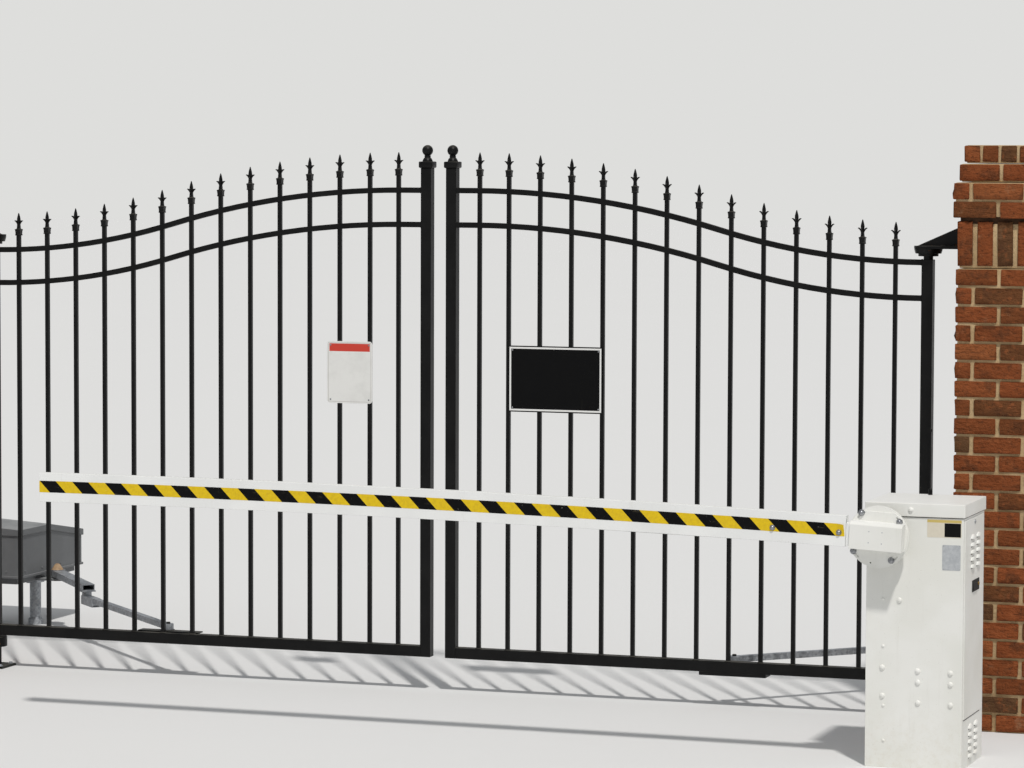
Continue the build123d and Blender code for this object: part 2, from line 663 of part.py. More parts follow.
# Signs on the faces of the pickets
sign_back = RAIL_MIDDLE_Y - PICKET / 2
with BuildPart() as notice:
    with BuildSketch(Plane.XZ.offset(-sign_back)):
        with Locations((MID_X - NOTICE_MIDDLE, NOTICE_LEVEL)):
            RectangleRounded(NOTICE_WIDTH, NOTICE_HEIGHT, NOTICE_CORNER)
    extrude(amount=SIGN_THICKNESS)
save(notice, "left_sign")

with BuildPart() as panel:
    with BuildSketch(Plane.XZ.offset(-sign_back)):
        with Locations((MID_X + PANEL_MIDDLE, PANEL_LEVEL)):
            RectangleRounded(PANEL_WIDTH, PANEL_HEIGHT, PANEL_CORNER)
    extrude(amount=SIGN_THICKNESS)
save(panel, "right_sign")

# Barrier cabinet, its door, lid and antenna
cabinet_x = MID_X + CABINET_LEFT
cabinet_front = -CABINET_AHEAD
cabinet_middle_x = cabinet_x + CABINET_WIDTH / 2
cabinet_middle_y = cabinet_front + CABINET_DEPTH / 2
cabinet_right = cabinet_x + CABINET_WIDTH
door_width = CABINET_DEPTH - 2 * DOOR_INSET
door_height = CABINET_HEIGHT - DOOR_BOTTOM - DOOR_TOP_GAP
with BuildPart() as cabinet:
    with BuildSketch(Plane.XY):
        with Locations((cabinet_middle_x, cabinet_middle_y)):
            Rectangle(CABINET_WIDTH, CABINET_DEPTH)
    extrude(amount=CABINET_HEIGHT)
    with BuildSketch(Plane.YZ.offset(cabinet_right)):
        with Locations((cabinet_middle_y, DOOR_BOTTOM + door_height / 2)):
            Rectangle(door_width + 2 * DOOR_SEAM, door_height + 2 * DOOR_SEAM)
    extrude(amount=-DOOR_THICKNESS / 2, mode=Mode.SUBTRACT)
save(cabinet, "barrier_cabinet")

with BuildPart() as door:
    with BuildSketch(Plane.YZ.offset(cabinet_right - DOOR_THICKNESS / 2)):
        with Locations((cabinet_middle_y, DOOR_BOTTOM + door_height / 2)):
            Rectangle(door_width, door_height)
    extrude(amount=DOOR_THICKNESS)
save(door, "barrier_door")

with BuildPart() as lid:
    with BuildSketch(Plane.XY.offset(CABINET_HEIGHT)):
        with Locations((cabinet_middle_x, cabinet_middle_y)):
            Rectangle(CABINET_WIDTH + 2 * LID_OVERHANG, CABINET_DEPTH + 2 * LID_OVERHANG)
    extrude(amount=LID_HEIGHT)
save(lid, "barrier_lid")

with BuildPart() as antenna:
    base_top = CABINET_HEIGHT + LID_HEIGHT
    rod_foot = base_top + ANTENNA_BASE_HEIGHT
    with BuildSketch(Plane.XY.offset(base_top)):
        with Locations((cabinet_x + ANTENNA_RIGHT, cabinet_front + ANTENNA_BACK)):
            Circle(ANTENNA_BASE / 2)
    extrude(amount=ANTENNA_BASE_HEIGHT)
    with BuildSketch(Plane.XY.offset(rod_foot)):
        with Locations((cabinet_x + ANTENNA_RIGHT, cabinet_front + ANTENNA_BACK)):
            Circle(ANTENNA_ROD / 2)
    extrude(amount=ANTENNA_HEIGHT)
    with BuildSketch(Plane.XY.offset(rod_foot + ANTENNA_HEIGHT)):
        with Locations((cabinet_x + ANTENNA_RIGHT, cabinet_front + ANTENNA_BACK)):
            Circle(ANTENNA_TIP / 2)
    extrude(amount=ANTENNA_TIP_HEIGHT)
save(antenna, "antenna")

# Barrier arm: hub disc with its face plate, clamp, stub and boom, set a little above level
hub_x = cabinet_x + HUB_RIGHT
hub_back = cabinet_front - HUB_GAP


def tilted(angle):
    """The upright plane behind the hub disc, its left-hand end raised by this many degrees."""
    along = (cos(radians(angle)), 0, -sin(radians(angle)))
    return Plane(origin=(hub_x, hub_back, HUB_LEVEL), x_dir=along, z_dir=(0, -1, 0))


clamp_frame = tilted(CLAMP_TILT)
boom_frame = tilted(BOOM_REST)
with BuildPart() as shaft_housing:
    with BuildSketch(Plane(origin=(hub_x, cabinet_front, HUB_LEVEL), x_dir=(1, 0, 0), z_dir=(0, -1, 0))):
        Circle(HUB_SHAFT)
    extrude(amount=HUB_GAP / 2)
save(shaft_housing, "barrier_shaft_housing")

with BuildPart() as hub:
    with BuildSketch(clamp_frame):
        Circle(HUB / 2)
    extrude(amount=HUB_THICKNESS)
    with BuildSketch(clamp_frame.offset(HUB_THICKNESS)):
        Circle(HUB / 2 - HUB_RIM)
        Rectangle(HUB, FACE_PLATE_HEIGHT, mode=Mode.INTERSECT)
    extrude(amount=FACE_PLATE_THICKNESS)
    with BuildSketch(clamp_frame):
        Circle(HUB_SHAFT / 2)
    extrude(amount=-(HUB_GAP / 2 - PIN_CLEARANCE))
save(hub, "barrier_hub")

clamp_back = HUB_THICKNESS + FACE_PLATE_THICKNESS
clamp_left = CLAMP_SHIFT - CLAMP_LENGTH / 2
with BuildPart() as clamp:
    with BuildSketch(clamp_frame.offset(clamp_back)):
        with Locations((CLAMP_SHIFT, 0)):
            Rectangle(CLAMP_LENGTH, CLAMP_HEIGHT)
    extrude(amount=CLAMP_DEPTH)
    front_edges = clamp.faces().sort_by(Axis.Y)[0].edges()
    chamfer(front_edges.filter_by(lambda edge: edge.length > CLAMP_HEIGHT + 1), CLAMP_BEVEL)
save(clamp, "barrier_clamp")

# The stub stands on the boom's lower wall
boom_end = clamp_left - BOOM_GAP
stub_level = BOOM_LIFT - BOOM_HEIGHT / 2 + BOOM_WALL + STUB_HEIGHT / 2
with BuildPart() as stub:
    with BuildSketch(boom_frame.offset(clamp_back + (CLAMP_DEPTH - STUB_DEPTH) / 2)):
        with Locations((clamp_left + STUB_TRIM, stub_level)):
            Rectangle(STUB_TRIM + BOOM_GAP + STUB_RUN, STUB_HEIGHT, align=(Align.MAX, Align.CENTER))
    extrude(amount=STUB_DEPTH)
    add(clamp.part, mode=Mode.SUBTRACT)
save(stub, "barrier_stub")

# The boom leaves the clamp in line with the stub and droops a little over its length
droop_radius = (BOOM_LENGTH**2 + BOOM_DROOP**2) / (2 * BOOM_DROOP)
droop_angle = degrees(BOOM_LENGTH / droop_radius)
boom_middle = clamp_back + CLAMP_DEPTH / 2
cavity_angle = droop_angle - degrees(BOOM_WALL / droop_radius)
boom_tubes = ((BOOM_DEPTH, BOOM_HEIGHT, droop_angle, Mode.ADD),
              (BOOM_DEPTH - 2 * BOOM_WALL, BOOM_HEIGHT - 2 * BOOM_WALL, cavity_angle, Mode.SUBTRACT))
with BuildPart() as boom:
    for depth, height, turn, mode in boom_tubes:
        with BuildSketch(boom_frame.offset(boom_middle - depth / 2)):
            with BuildLine():
                centre = (boom_end, BOOM_LIFT - droop_radius)
                top_edge = CenterArc(centre, droop_radius + height / 2, 90, turn)
                bottom_edge = CenterArc(centre, droop_radius - height / 2, 90, turn)
                Line(top_edge @ 0, bottom_edge @ 0)
                Line(top_edge @ 1, bottom_edge @ 1)
            make_face()
        extrude(amount=depth, mode=mode)
save(boom, "boom")
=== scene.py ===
import json
import random
from math import atan2, cos, degrees, pi, radians, sin

import bmesh
import bpy
from mathutils import Matrix, Vector

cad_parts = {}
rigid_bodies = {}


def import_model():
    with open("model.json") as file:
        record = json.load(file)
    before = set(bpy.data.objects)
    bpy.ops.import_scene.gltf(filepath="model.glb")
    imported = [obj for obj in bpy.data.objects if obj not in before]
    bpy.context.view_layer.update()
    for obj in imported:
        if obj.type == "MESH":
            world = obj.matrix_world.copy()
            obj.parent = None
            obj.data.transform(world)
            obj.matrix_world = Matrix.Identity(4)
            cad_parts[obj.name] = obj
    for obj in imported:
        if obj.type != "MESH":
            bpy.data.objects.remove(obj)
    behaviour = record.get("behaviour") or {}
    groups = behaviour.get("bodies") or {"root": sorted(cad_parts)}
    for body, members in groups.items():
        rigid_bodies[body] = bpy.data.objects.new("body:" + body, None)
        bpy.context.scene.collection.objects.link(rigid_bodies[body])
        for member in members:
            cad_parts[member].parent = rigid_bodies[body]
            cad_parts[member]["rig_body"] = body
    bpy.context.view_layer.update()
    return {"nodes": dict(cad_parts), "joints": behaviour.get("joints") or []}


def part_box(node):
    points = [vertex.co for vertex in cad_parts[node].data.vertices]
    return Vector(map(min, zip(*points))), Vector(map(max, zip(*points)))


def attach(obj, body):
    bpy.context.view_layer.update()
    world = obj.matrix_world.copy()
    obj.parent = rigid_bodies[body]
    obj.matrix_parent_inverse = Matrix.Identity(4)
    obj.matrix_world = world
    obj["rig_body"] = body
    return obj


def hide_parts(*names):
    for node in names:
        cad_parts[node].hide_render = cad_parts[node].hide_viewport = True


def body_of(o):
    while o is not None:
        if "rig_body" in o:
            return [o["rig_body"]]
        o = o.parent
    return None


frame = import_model()
nodes = frame["nodes"]
SIDES = {"right": 1, "left": -1}  # each side's way along X from the middle of the gate


# Finishes

class Wire:
    """A shader socket that grows Math nodes when it is used in an expression."""

    def __init__(self, finish, socket):
        self.finish = finish
        self.socket = socket

    def maths(self, operation, *values):
        return self.finish.node("Math", {"operation": operation}, dict(enumerate(values)))

    def __add__(self, other):
        return self.maths("ADD", self, other)

    def __radd__(self, other):
        return self.maths("ADD", other, self)

    def __sub__(self, other):
        return self.maths("SUBTRACT", self, other)

    def __rsub__(self, other):
        return self.maths("SUBTRACT", other, self)

    def __mul__(self, other):
        return self.maths("MULTIPLY", self, other)

    def __rmul__(self, other):
        return self.maths("MULTIPLY", other, self)

    def __truediv__(self, other):
        return self.maths("DIVIDE", self, other)

    def __abs__(self):
        return self.maths("ABSOLUTE", self)

    def fraction(self):
        return self.maths("FRACT", self)

    def least(self, other):
        return self.maths("MINIMUM", self, other)

    def step(self, low, high):
        """0 below low, 1 above high and smooth in between; low may be the larger of the two."""
        ends = {"Value": self, "From Min": low, "From Max": high}
        return self.finish.node("MapRange", {"interpolation_type": "SMOOTHSTEP"}, ends)

    def within(self, low, high, soft=0.0006):
        """1 between two values and 0 outside them."""
        return self.step(low - soft, low) * self.step(high + soft, high)


class Finish:
    """The node tree of one finish."""

    def __init__(self, name):
        self.material = bpy.data.materials.new(name)
        self.material.use_nodes = True
        self.tree = self.material.node_tree
        self.tree.nodes.clear()

    def node(self, kind, settings, sockets, output=0):
        """Add a node, set it up, fill its sockets with values or links, and return one output."""
        made = self.tree.nodes.new("ShaderNode" + kind)
        for key, value in settings.items():
            if key == "stops":
                ramp = made.color_ramp
                while len(ramp.elements) < len(value):
                    ramp.elements.new(1.0)
                for element, (place, colour) in zip(ramp.elements, value):
                    element.position = place
                    element.color = colour
            else:
                setattr(made, key, value)
        for key, value in sockets.items():
            if isinstance(value, Wire):
                self.tree.links.new(value.socket, made.inputs[key])
            else:
                made.inputs[key].default_value = value
        return Wire(self, made.outputs[output])

    def place(self):
        """Object coordinates, in metres in the row frame."""
        return self.node("TexCoord", {}, {}, "Object")

    def upward(self):
        """How far the surface faces up: 1 on a level top and -1 underneath."""
        return self.parts(self.node("NewGeometry", {}, {}, "Normal"))[2]

    def own(self, name):
        """A value that the piece carries at its points."""
        return self.node("Attribute", {"attribute_name": name}, {}, "Fac")

    def parts(self, vector):
        """The X, Y and Z of a vector."""
        made = self.tree.nodes.new("ShaderNodeSeparateXYZ")
        self.tree.links.new(vector.socket, made.inputs[0])
        return [Wire(self, out) for out in made.outputs]

    def noise(self, vector, scale, detail=2.0, roughness=0.5):
        """Soft noise; a scale for each axis draws it out into streaks."""
        if isinstance(scale, tuple):
            vector, scale = self.node("VectorMath", {"operation": "MULTIPLY"}, {0: vector, 1: scale}), 1
        return self.node("TexNoise", {}, {"Vector": vector, "Scale": scale, "Detail": detail,
                                          "Roughness": roughness})

    def blend(self, factor, first, second):
        return self.node("Mix", {"data_type": "RGBA"}, {0: factor, 6: first, 7: second}, 2)

    def ramp(self, value, stops):
        return self.node("ValToRGB", {"stops": stops}, {"Fac": value})

    def bump(self, height, depth, strength=1.0, below=None):
        sockets = {"Height": height, "Distance": depth, "Strength": strength}
        if below:
            sockets["Normal"] = below
        return self.node("Bump", {}, sockets)

    def surface(self, colour, roughness, relief=None, gleam=0.5, metallic=0.0):
        """Close the finish with one principled shader and return its material."""
        sockets = {"Base Color": colour, "Roughness": roughness, "Specular IOR Level": gleam,
                   "Metallic": metallic}
        if relief:
            sockets["Normal"] = relief
        shader = self.node("BsdfPrincipled", {}, sockets)
        out = self.tree.nodes.new("ShaderNodeOutputMaterial")
        self.tree.links.new(shader.socket, out.inputs["Surface"])
        return self.material


def paint(red, green, blue):
    """Linear colour of a paint written as 0 to 255 screen values."""
    linear = [c / 255 / 12.92 if c < 11 else ((c / 255 + 0.055) / 1.055) ** 2.4 for c in (red, green, blue)]
    return (*linear, 1.0)


def brick_finish():
    """Tumbled brick: each brick has its own tone, with burnt patches, creases, pits and mortar smears; the pits
    and creases are darkened with painted shade.
    """
    f = Finish("tumbled_brick")
    place = f.place()
    tone = f.own("tone")
    shift = f.own("shift")
    apart = f.node("CombineXYZ", {}, {"X": shift * 9})
    moved = f.node("VectorMath", {"operation": "ADD"}, {0: place, 1: apart})
    blotch = f.noise(moved, 15, 3, 0.6)
    grain = f.noise(moved, 190, 3, 0.65)
    creases = f.noise(moved, (22, 22, 70), 3, 0.62)
    body = f.ramp(tone, [(0.0, paint(100, 71, 46)), (0.14, paint(112, 68, 38)), (0.4, paint(128, 70, 37)),
                         (0.75, paint(140, 75, 40)), (1.0, paint(150, 88, 50))])
    burnt = f.blend(blotch.step(0.5, 0.7) * 0.6, body, paint(84, 53, 34))
    warm = f.blend(f.noise(moved, 34, 2).step(0.55, 0.75) * 0.5, burnt, paint(164, 96, 56))
    speck = f.blend(grain.step(0.62, 0.76) * 0.35, warm, paint(194, 146, 104))
    # Pits and creases are darkened with painted shade on top of their bump.
    pit = f.noise(moved, 70, 4, 0.7)
    deep = f.blend(pit.step(0.44, 0.3) * 0.6, speck, paint(54, 34, 22))
    dark = f.blend(creases.step(0.44, 0.28) * 0.45, deep, paint(62, 38, 24))
    smear = f.blend(f.noise(place, 11, 3, 0.6).step(0.62, 0.76) * 0.28, dark, paint(176, 150, 118))
    coarse = f.bump(blotch + pit * 0.9 + creases * 1.3, 0.011)
    fine = f.bump(grain, 0.0016, 0.8, coarse)
    return f.surface(smear, 0.9, fine, 0.2)


def mortar_finish():
    f = Finish("sand_mortar")
    place = f.place()
    sand = f.noise(place, 420, 2, 0.7)
    cloud = f.noise(place, 7, 3)
    base = f.blend(cloud.step(0.35, 0.7), paint(186, 158, 118), paint(205, 178, 138))
    dark = f.blend(sand.step(0.58, 0.75) * 0.45, base, paint(116, 94, 70))
    rough = f.bump(f.noise(place, 60, 4, 0.7), 0.006)
    return f.surface(dark, 0.95, f.bump(sand, 0.0015, 0.8, rough), 0.2)


def black_finish(name, rust=0.0):
    """Satin black paint, lighter on top partly from dust and partly as a painted sheen; rust is how much of it
    shows through.
    """
    f = Finish(name)
    place = f.place()
    up = f.upward()
    film = f.noise(place, 9, 3, 0.6)
    drops = f.noise(place, (34, 34, 3), 3, 0.6)
    # Upward faces are lightened partly by dust and partly as a painted sheen.
    dust_and_sheen = up.step(0.4, 0.98) * film.step(0.2, 0.7)
    base = f.blend(film.step(0.3, 0.7), paint(8, 8, 8), paint(17, 17, 17))
    streak = f.blend(drops.step(0.6, 0.85) * 0.22, base, paint(52, 51, 50))
    worn = f.noise(place, 46, 4, 0.72)
    chip = worn.step(0.8 - rust * 0.36, 0.84 - rust * 0.36)
    rusty = f.blend(f.noise(place, 120, 3, 0.6), paint(92, 48, 26), paint(148, 92, 54))
    chipped = f.blend(chip * (0.35 + rust * 0.6), streak, rusty)
    dust_and_sheen_coat = f.blend(dust_and_sheen * 0.5, chipped, paint(104, 101, 94))
    peel = f.bump(f.noise(place, 260, 2), 0.0004, 0.5)
    skin = f.bump(chip, -0.0008, 0.8, peel)
    gloss = 0.3 + film * 0.18 + dust_and_sheen * 0.25 + chip * 0.2
    return f.surface(dust_and_sheen_coat, gloss, skin, 0.2)


def white_finish(name, low=(231, 231, 225), high=(238, 238, 234)):
    """White enamel with rain runs on its sides, splashes at its foot and tops painted brighter as a painted
    highlight.
    """
    f = Finish(name)
    place = f.place()
    height = f.parts(place)[2]
    up = f.upward()
    cloud = f.noise(place, 3.2, 3, 0.6)
    runs = f.noise(place, (38, 38, 2.2), 4, 0.65)
    base = f.blend(cloud.step(0.35, 0.7), paint(*low), paint(*high))
    foot = height.step(0.34, 0.02)
    splash = f.blend(foot * f.noise(place, 26, 4, 0.7).step(0.4, 0.8) * 0.3, base, paint(204, 194, 174))
    grime = f.blend(runs.step(0.56, 0.82) * (1 - abs(up)) * 0.13, splash, paint(180, 176, 164))
    specks = f.blend(f.noise(place, 240, 1).step(0.74, 0.8) * 0.35, grime, paint(150, 140, 120))
    # Upward faces are painted brighter: a painted highlight.
    lit_tops = f.blend(up.step(0.8, 0.98) * 0.7, specks, paint(250, 250, 247))
    peel = f.bump(f.noise(place, 320, 2), 0.0005, 0.5)
    return f.surface(lit_tops, 0.3 + cloud * 0.18 + foot * 0.15, peel, 0.4)


def zinc_finish():
    f = Finish("galvanised_steel")
    place = f.place()
    spangle = f.node("TexVoronoi", {}, {"Vector": place, "Scale": 95}, 1)
    flake = f.parts(spangle)[0]
    cloud = f.noise(place, 14, 3, 0.6)
    base = f.blend(flake, paint(140, 144, 150), paint(182, 186, 190))
    dull = f.blend(cloud.step(0.5, 0.75) * 0.5, base, paint(120, 121, 120))
    rust = f.blend(f.noise(place, 30, 4, 0.7).step(0.68, 0.8) * 0.35, dull, paint(126, 92, 62))
    grain = f.bump(f.noise(place, 200, 2), 0.0004, 0.5)
    return f.surface(rust, 0.38 + flake * 0.14 + cloud * 0.1, grain, metallic=0.5)


def grey_finish():
    f = Finish("operator_grey")
    place = f.place()
    up = f.upward()
    cloud = f.noise(place, 5, 3, 0.6)
    base = f.blend(cloud.step(0.35, 0.7), paint(102, 104, 106), paint(112, 114, 116))
    # Upward faces are lightened partly by dust and partly as a painted sheen.
    dust_and_sheen = f.blend(up.step(0.5, 0.95) * cloud.step(0.15, 0.6) * 0.6, base, paint(168, 170, 170))
    runs = f.noise(place, (46, 46, 3), 4, 0.65)
    streak = f.blend(runs.step(0.58, 0.82) * 0.25, dust_and_sheen, paint(78, 80, 80))
    grain = f.bump(f.noise(place, 520, 2), 0.0007, 0.6)
    return f.surface(streak, 0.5 + cloud * 0.16, grain, 0.35)


def plain_finish(name, low, high, scale, roughness, metallic=0.0):
    """A small piece's finish: two close tones clouded together under a fine grain."""
    f = Finish(name)
    place = f.place()
    cloud = f.noise(place, scale, 4, 0.65)
    colour = f.blend(cloud.step(0.3, 0.7), paint(*low), paint(*high))
    grain = f.bump(f.noise(place, scale * 6, 2), 0.0004, 0.6)
    return f.surface(colour, roughness + cloud * 0.2, grain, metallic=metallic)


def tape_finish():
    """Slanted yellow and black stripes, told from the tape's own values."""
    f = Finish("striped_tape")
    place = f.place()
    along, above = f.own("along"), f.own("above")
    slant, start, pitch = 0.978, 0.0234, 0.1585
    turn = (along - above * slant - start) / pitch + 0.5
    yellow = abs(turn.fraction() - 0.5).step(0.2545, 0.2505)
    wear = f.noise(place, 60, 4, 0.7)
    dirt = f.noise(place, (14, 14, 60), 4, 0.65)
    gold = f.blend(wear.step(0.35, 0.75), paint(232, 198, 34), paint(214, 180, 40))
    jet = f.blend(wear.step(0.35, 0.75), paint(5, 5, 6), paint(14, 14, 15))
    stripes = f.blend(yellow, jet, gold)
    dull = f.blend(dirt.step(0.6, 0.85) * 0.3, stripes, paint(150, 140, 110))
    scuffed = f.blend(f.noise(place, 130, 3, 0.7).step(0.71, 0.76) * 0.6, dull, paint(206, 204, 190))
    return f.surface(scuffed, 0.36 + wear * 0.18, f.bump(wear, 0.0004, 0.5), 0.12)


def bordered_finish(name, node, ground, band, inner, outer, header=None):
    """A bare sign: a band between two distances from its edge, and a header strip where one is given."""
    f = Finish(name)
    low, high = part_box(node)
    place = f.place()
    x, y, z = f.parts(place)
    side = (x - low.x).least(high.x - x)
    reach = side.least((z - low.z).least(high.z - z))
    film = f.noise(place, 12, 4, 0.65)
    base = f.blend(film.step(0.4, 0.75) * 0.35, paint(*ground), paint(*[c * 0.86 + 5 for c in ground]))
    ringed = f.blend(reach.within(inner, outer), base, paint(*band))
    if header:
        top, depth, colour, margin = header
        strip = (high.z - z).within(top, top + depth) * side.step(margin, margin + 0.0006)
        ringed = f.blend(strip, ringed, paint(*colour))
    faced = f.blend(y.step(low.y + 0.0008, low.y + 0.0012), ringed, base)
    runs = f.noise(place, (60, 60, 5), 4, 0.65)
    worn = f.blend(runs.step(0.66, 0.9) * 0.1, faced, paint(140, 134, 122))
    return f.surface(worn, 0.34 + film * 0.2, f.bump(film, 0.0004, 0.4), 0.14)


def split_finish(left, foot, right, top):
    """The blank label between these edges: a strip along the top, one pale half and one dark half."""
    f = Finish("blank_label")
    place = f.place()
    x, _, z = f.parts(place)
    border, strip = 0.003, 0.0135
    wear = f.noise(place, 90, 3, 0.6)
    pale = f.blend(wear, paint(226, 219, 203), paint(214, 206, 188))
    dark = f.blend(wear, paint(8, 8, 9), paint(20, 20, 21))
    right_half = x.within((left + right) / 2 + 0.001, right - border)
    halves = f.blend(right_half * z.within(foot + border, top - strip - 0.0025), pale, dark)
    topped = f.blend(z.within(top - strip, top - border), halves, paint(206, 184, 112))
    return f.surface(topped, 0.5 + wear * 0.15, f.bump(wear, 0.0003, 0.4), 0.12)


BRICK = brick_finish()
MORTAR = mortar_finish()
BLACK = black_finish("satin_black_steel")
RUSTY = black_finish("rusty_black_steel", 0.42)
WHITE = white_finish("white_enamel")
BOOM_WHITE = white_finish("boom_white", (236, 237, 236), (243, 244, 243))
ZINC = zinc_finish()
GREY = grey_finish()
TAPE = tape_finish()
BRIGHT = plain_finish("bright_bolt", (120, 122, 126), (172, 174, 178), 120, 0.26, 0.8)
# Black for the latch, seal and plug, and painted shade in slots, gaps and openings.
DARK = plain_finish("dark_gap", (20, 20, 20), (34, 33, 32), 60, 0.7)
# Painted shade for the raked joint under the corbels.
SHADED_MORTAR = plain_finish("damp_mortar", (52, 32, 18), (78, 52, 32), 30, 0.9)
TAN = plain_finish("tan_cap", (150, 122, 92), (182, 154, 120), 50, 0.6)
SILVER = plain_finish("silver_plate", (176, 180, 184), (196, 199, 202), 70, 0.42, 0.25)
BRASS = plain_finish("brass_plug", (120, 92, 46), (164, 130, 70), 90, 0.36, 0.7)
NOTICE = bordered_finish("notice_sheet", "left_sign", (232, 232, 229), (196, 194, 190), 0.0065, 0.0085,
                         (0.011, 0.036, (206, 72, 60), 0.012))
PANEL = bordered_finish("panel_sheet", "right_sign", (5, 5, 6), (236, 236, 234), 0.006, 0.0135)


# Modelling by hand

def let_go():
    """Leave nothing selected, so that an operator acts on the new piece alone."""
    bpy.ops.object.select_all(action="DESELECT")


def take(piece):
    let_go()
    piece.select_set(True)
    bpy.context.view_layer.objects.active = piece


def edit(piece):
    take(piece)
    bpy.ops.object.mode_set(mode="EDIT")


def done():
    bpy.ops.object.mode_set(mode="OBJECT")


def closed():
    """Turn every face outwards and leave edit mode."""
    bpy.ops.mesh.select_all(action="SELECT")
    bpy.ops.mesh.normals_make_consistent(inside=False)
    done()


def pull(shift):
    """Extrude what is selected."""
    bpy.ops.mesh.extrude_region_move(TRANSFORM_OT_translate={"value": tuple(shift)})


def settle():
    """Put the place, turn and scale of the new primitive into its mesh."""
    bpy.ops.object.transform_apply(location=True, rotation=True, scale=True)


def pick(kind, test):
    """In edit mode, select the points, edges or faces that pass a test, and nothing else."""
    mesh = bpy.context.object.data
    work = bmesh.from_edit_mesh(mesh)
    bpy.ops.mesh.select_mode(type={"verts": "VERT", "edges": "EDGE", "faces": "FACE"}[kind])
    for group in (work.verts, work.edges, work.faces):
        for item in group:
            item.select = False
    for item in getattr(work, kind):
        if test(item):
            item.select_set(True)
    bmesh.update_edit_mesh(mesh)


def block(low, high):
    """A box between two corners."""
    let_go()
    low, high = Vector(low), Vector(high)
    bpy.ops.mesh.primitive_cube_add(size=1, location=(low + high) / 2)
    piece = bpy.context.object
    piece.scale = high - low
    settle()
    return piece


def drawn(rings, sides, turn=0.0):
    """A solid drawn up along Z, ring by ring: rings are (height, radius) pairs."""
    let_go()
    bpy.ops.mesh.primitive_circle_add(vertices=sides, radius=rings[0][1], fill_type="NGON",
                                      location=(0, 0, rings[0][0]), rotation=(0, 0, turn))
    piece = bpy.context.object
    settle()
    edit(piece)
    bpy.ops.mesh.select_all(action="SELECT")
    for (low, wide), (high, next_wide) in zip(rings, rings[1:]):
        pull((0, 0, high - low))
        grow = next_wide / wide
        bpy.ops.transform.resize(value=(grow, grow, 1), center_override=(0, 0, high))
    closed()
    return piece


def squared(rings):
    """A square solid drawn up along Z: rings are (height, half width) pairs."""
    return drawn([(height, half * 2 ** 0.5) for height, half in rings], 4, pi / 4)


def outlined(points, thickness):
    """A flat piece with this outline in the XZ plane, its thickness shared to both sides."""
    let_go()
    bpy.ops.mesh.primitive_circle_add(vertices=len(points), radius=0.01, fill_type="NGON")
    piece = bpy.context.object
    edit(piece)
    work = bmesh.from_edit_mesh(piece.data)
    for corner, (x, z) in zip(list(work.verts), points):
        corner.co = (x, thickness / 2, z)
    bmesh.update_edit_mesh(piece.data)
    bpy.ops.mesh.select_all(action="SELECT")
    pull((0, -thickness, 0))
    closed()
    return piece


def applied(piece, kind, **settings):
    """Put a modifier on a piece and apply it."""
    take(piece)
    step = piece.modifiers.new("step", kind)
    for key, value in settings.items():
        setattr(step, key, value)
    bpy.ops.object.modifier_apply(modifier="step")
    return piece


def bevelled(piece, width, segments=2, angle=30):
    """Round the sharp edges."""
    return applied(piece, "BEVEL", width=width, segments=segments, limit_method="ANGLE",
                   angle_limit=radians(angle))


def smooth(piece, angle=35):
    take(piece)
    bpy.ops.object.shade_smooth_by_angle(angle=radians(angle))
    return piece


def flattened(piece, angle=35):
    """Smooth a piece but keep its large faces flat to the eye."""
    smooth(piece, angle)
    return applied(piece, "WEIGHTED_NORMAL", keep_sharp=True, weight=80)


def moved(piece, place):
    piece.data.transform(place)
    return piece


def copied(master, places):
    """Copies of a modelled piece, each with its own mesh, at the given matrices."""
    twins = []
    for place in places:
        twin = master.copy()
        twin.data = master.data.copy()
        twin.data.transform(place)
        bpy.context.scene.collection.objects.link(twin)
        twins.append(twin)
    return twins


def joined(pieces):
    let_go()
    for piece in pieces:
        piece.select_set(True)
    bpy.context.view_layer.objects.active = pieces[0]
    if len(pieces) > 1:
        bpy.ops.object.join()
    return pieces[0]


def dropped(*pieces):
    """Remove the masters that were only there to be copied."""
    for piece in pieces:
        bpy.data.objects.remove(piece)


def dressed(name, piece, finish, body):
    """Name a piece and give it its finish, its body and the slot that it takes its finish from."""
    piece.name = piece.data.name = name
    piece.data.materials.clear()
    piece.data.materials.append(finish)
    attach(piece, body)
    return piece


def set_out(name, master, places, finish, body):
    """Copy a modelled piece to its places and dress the lot as one."""
    lot = joined(copied(master, places))
    dropped(master)
    return dressed(name, lot, finish, body)


def softened(name, finish, width, segments=2, cutters=(), pierced=False):
    """A merged copy of a CAD piece with rounded edges, in its place; a pierced one keeps its small faces."""
    node = nodes[name]
    mesh = node.data.copy()
    mesh.transform(node.matrix_world)
    piece = bpy.data.objects.new(name, mesh)
    bpy.context.scene.collection.objects.link(piece)
    edit(piece)
    bpy.ops.mesh.select_all(action="SELECT")
    bpy.ops.mesh.remove_doubles(threshold=0.00003)
    if pierced:
        bpy.ops.mesh.tris_convert_to_quads(face_threshold=radians(1), shape_threshold=radians(60))
    else:
        bpy.ops.mesh.dissolve_limited(angle_limit=radians(0.4))
        bpy.ops.mesh.normals_make_consistent(inside=False)
    done()
    for cutter in cutters:
        applied(piece, "BOOLEAN", operation="DIFFERENCE", solver="EXACT", object=cutter)
        dropped(cutter)
    bevelled(piece, width, segments)
    dressed(f"{name}_worked", flattened(piece), finish, body_of(node)[0])
    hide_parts(name)
    return piece


def middle_of(name):
    """The middle of a CAD piece."""
    low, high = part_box(name)
    return (low + high) / 2


def ends(side, name):
    """The X of a CAD piece's two ends, the one nearer the middle of the gate first."""
    low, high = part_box(name)
    return (low.x, high.x) if side == "right" else (high.x, low.x)


def at(x, y, z):
    return Matrix.Translation((x, y, z))


def about(axis, turn):
    return Matrix.Rotation(radians(turn), 4, axis)


TO_ROAD = about("X", 90)
TO_YARD = about("X", -90)
TO_RIGHT = about("Y", 90)


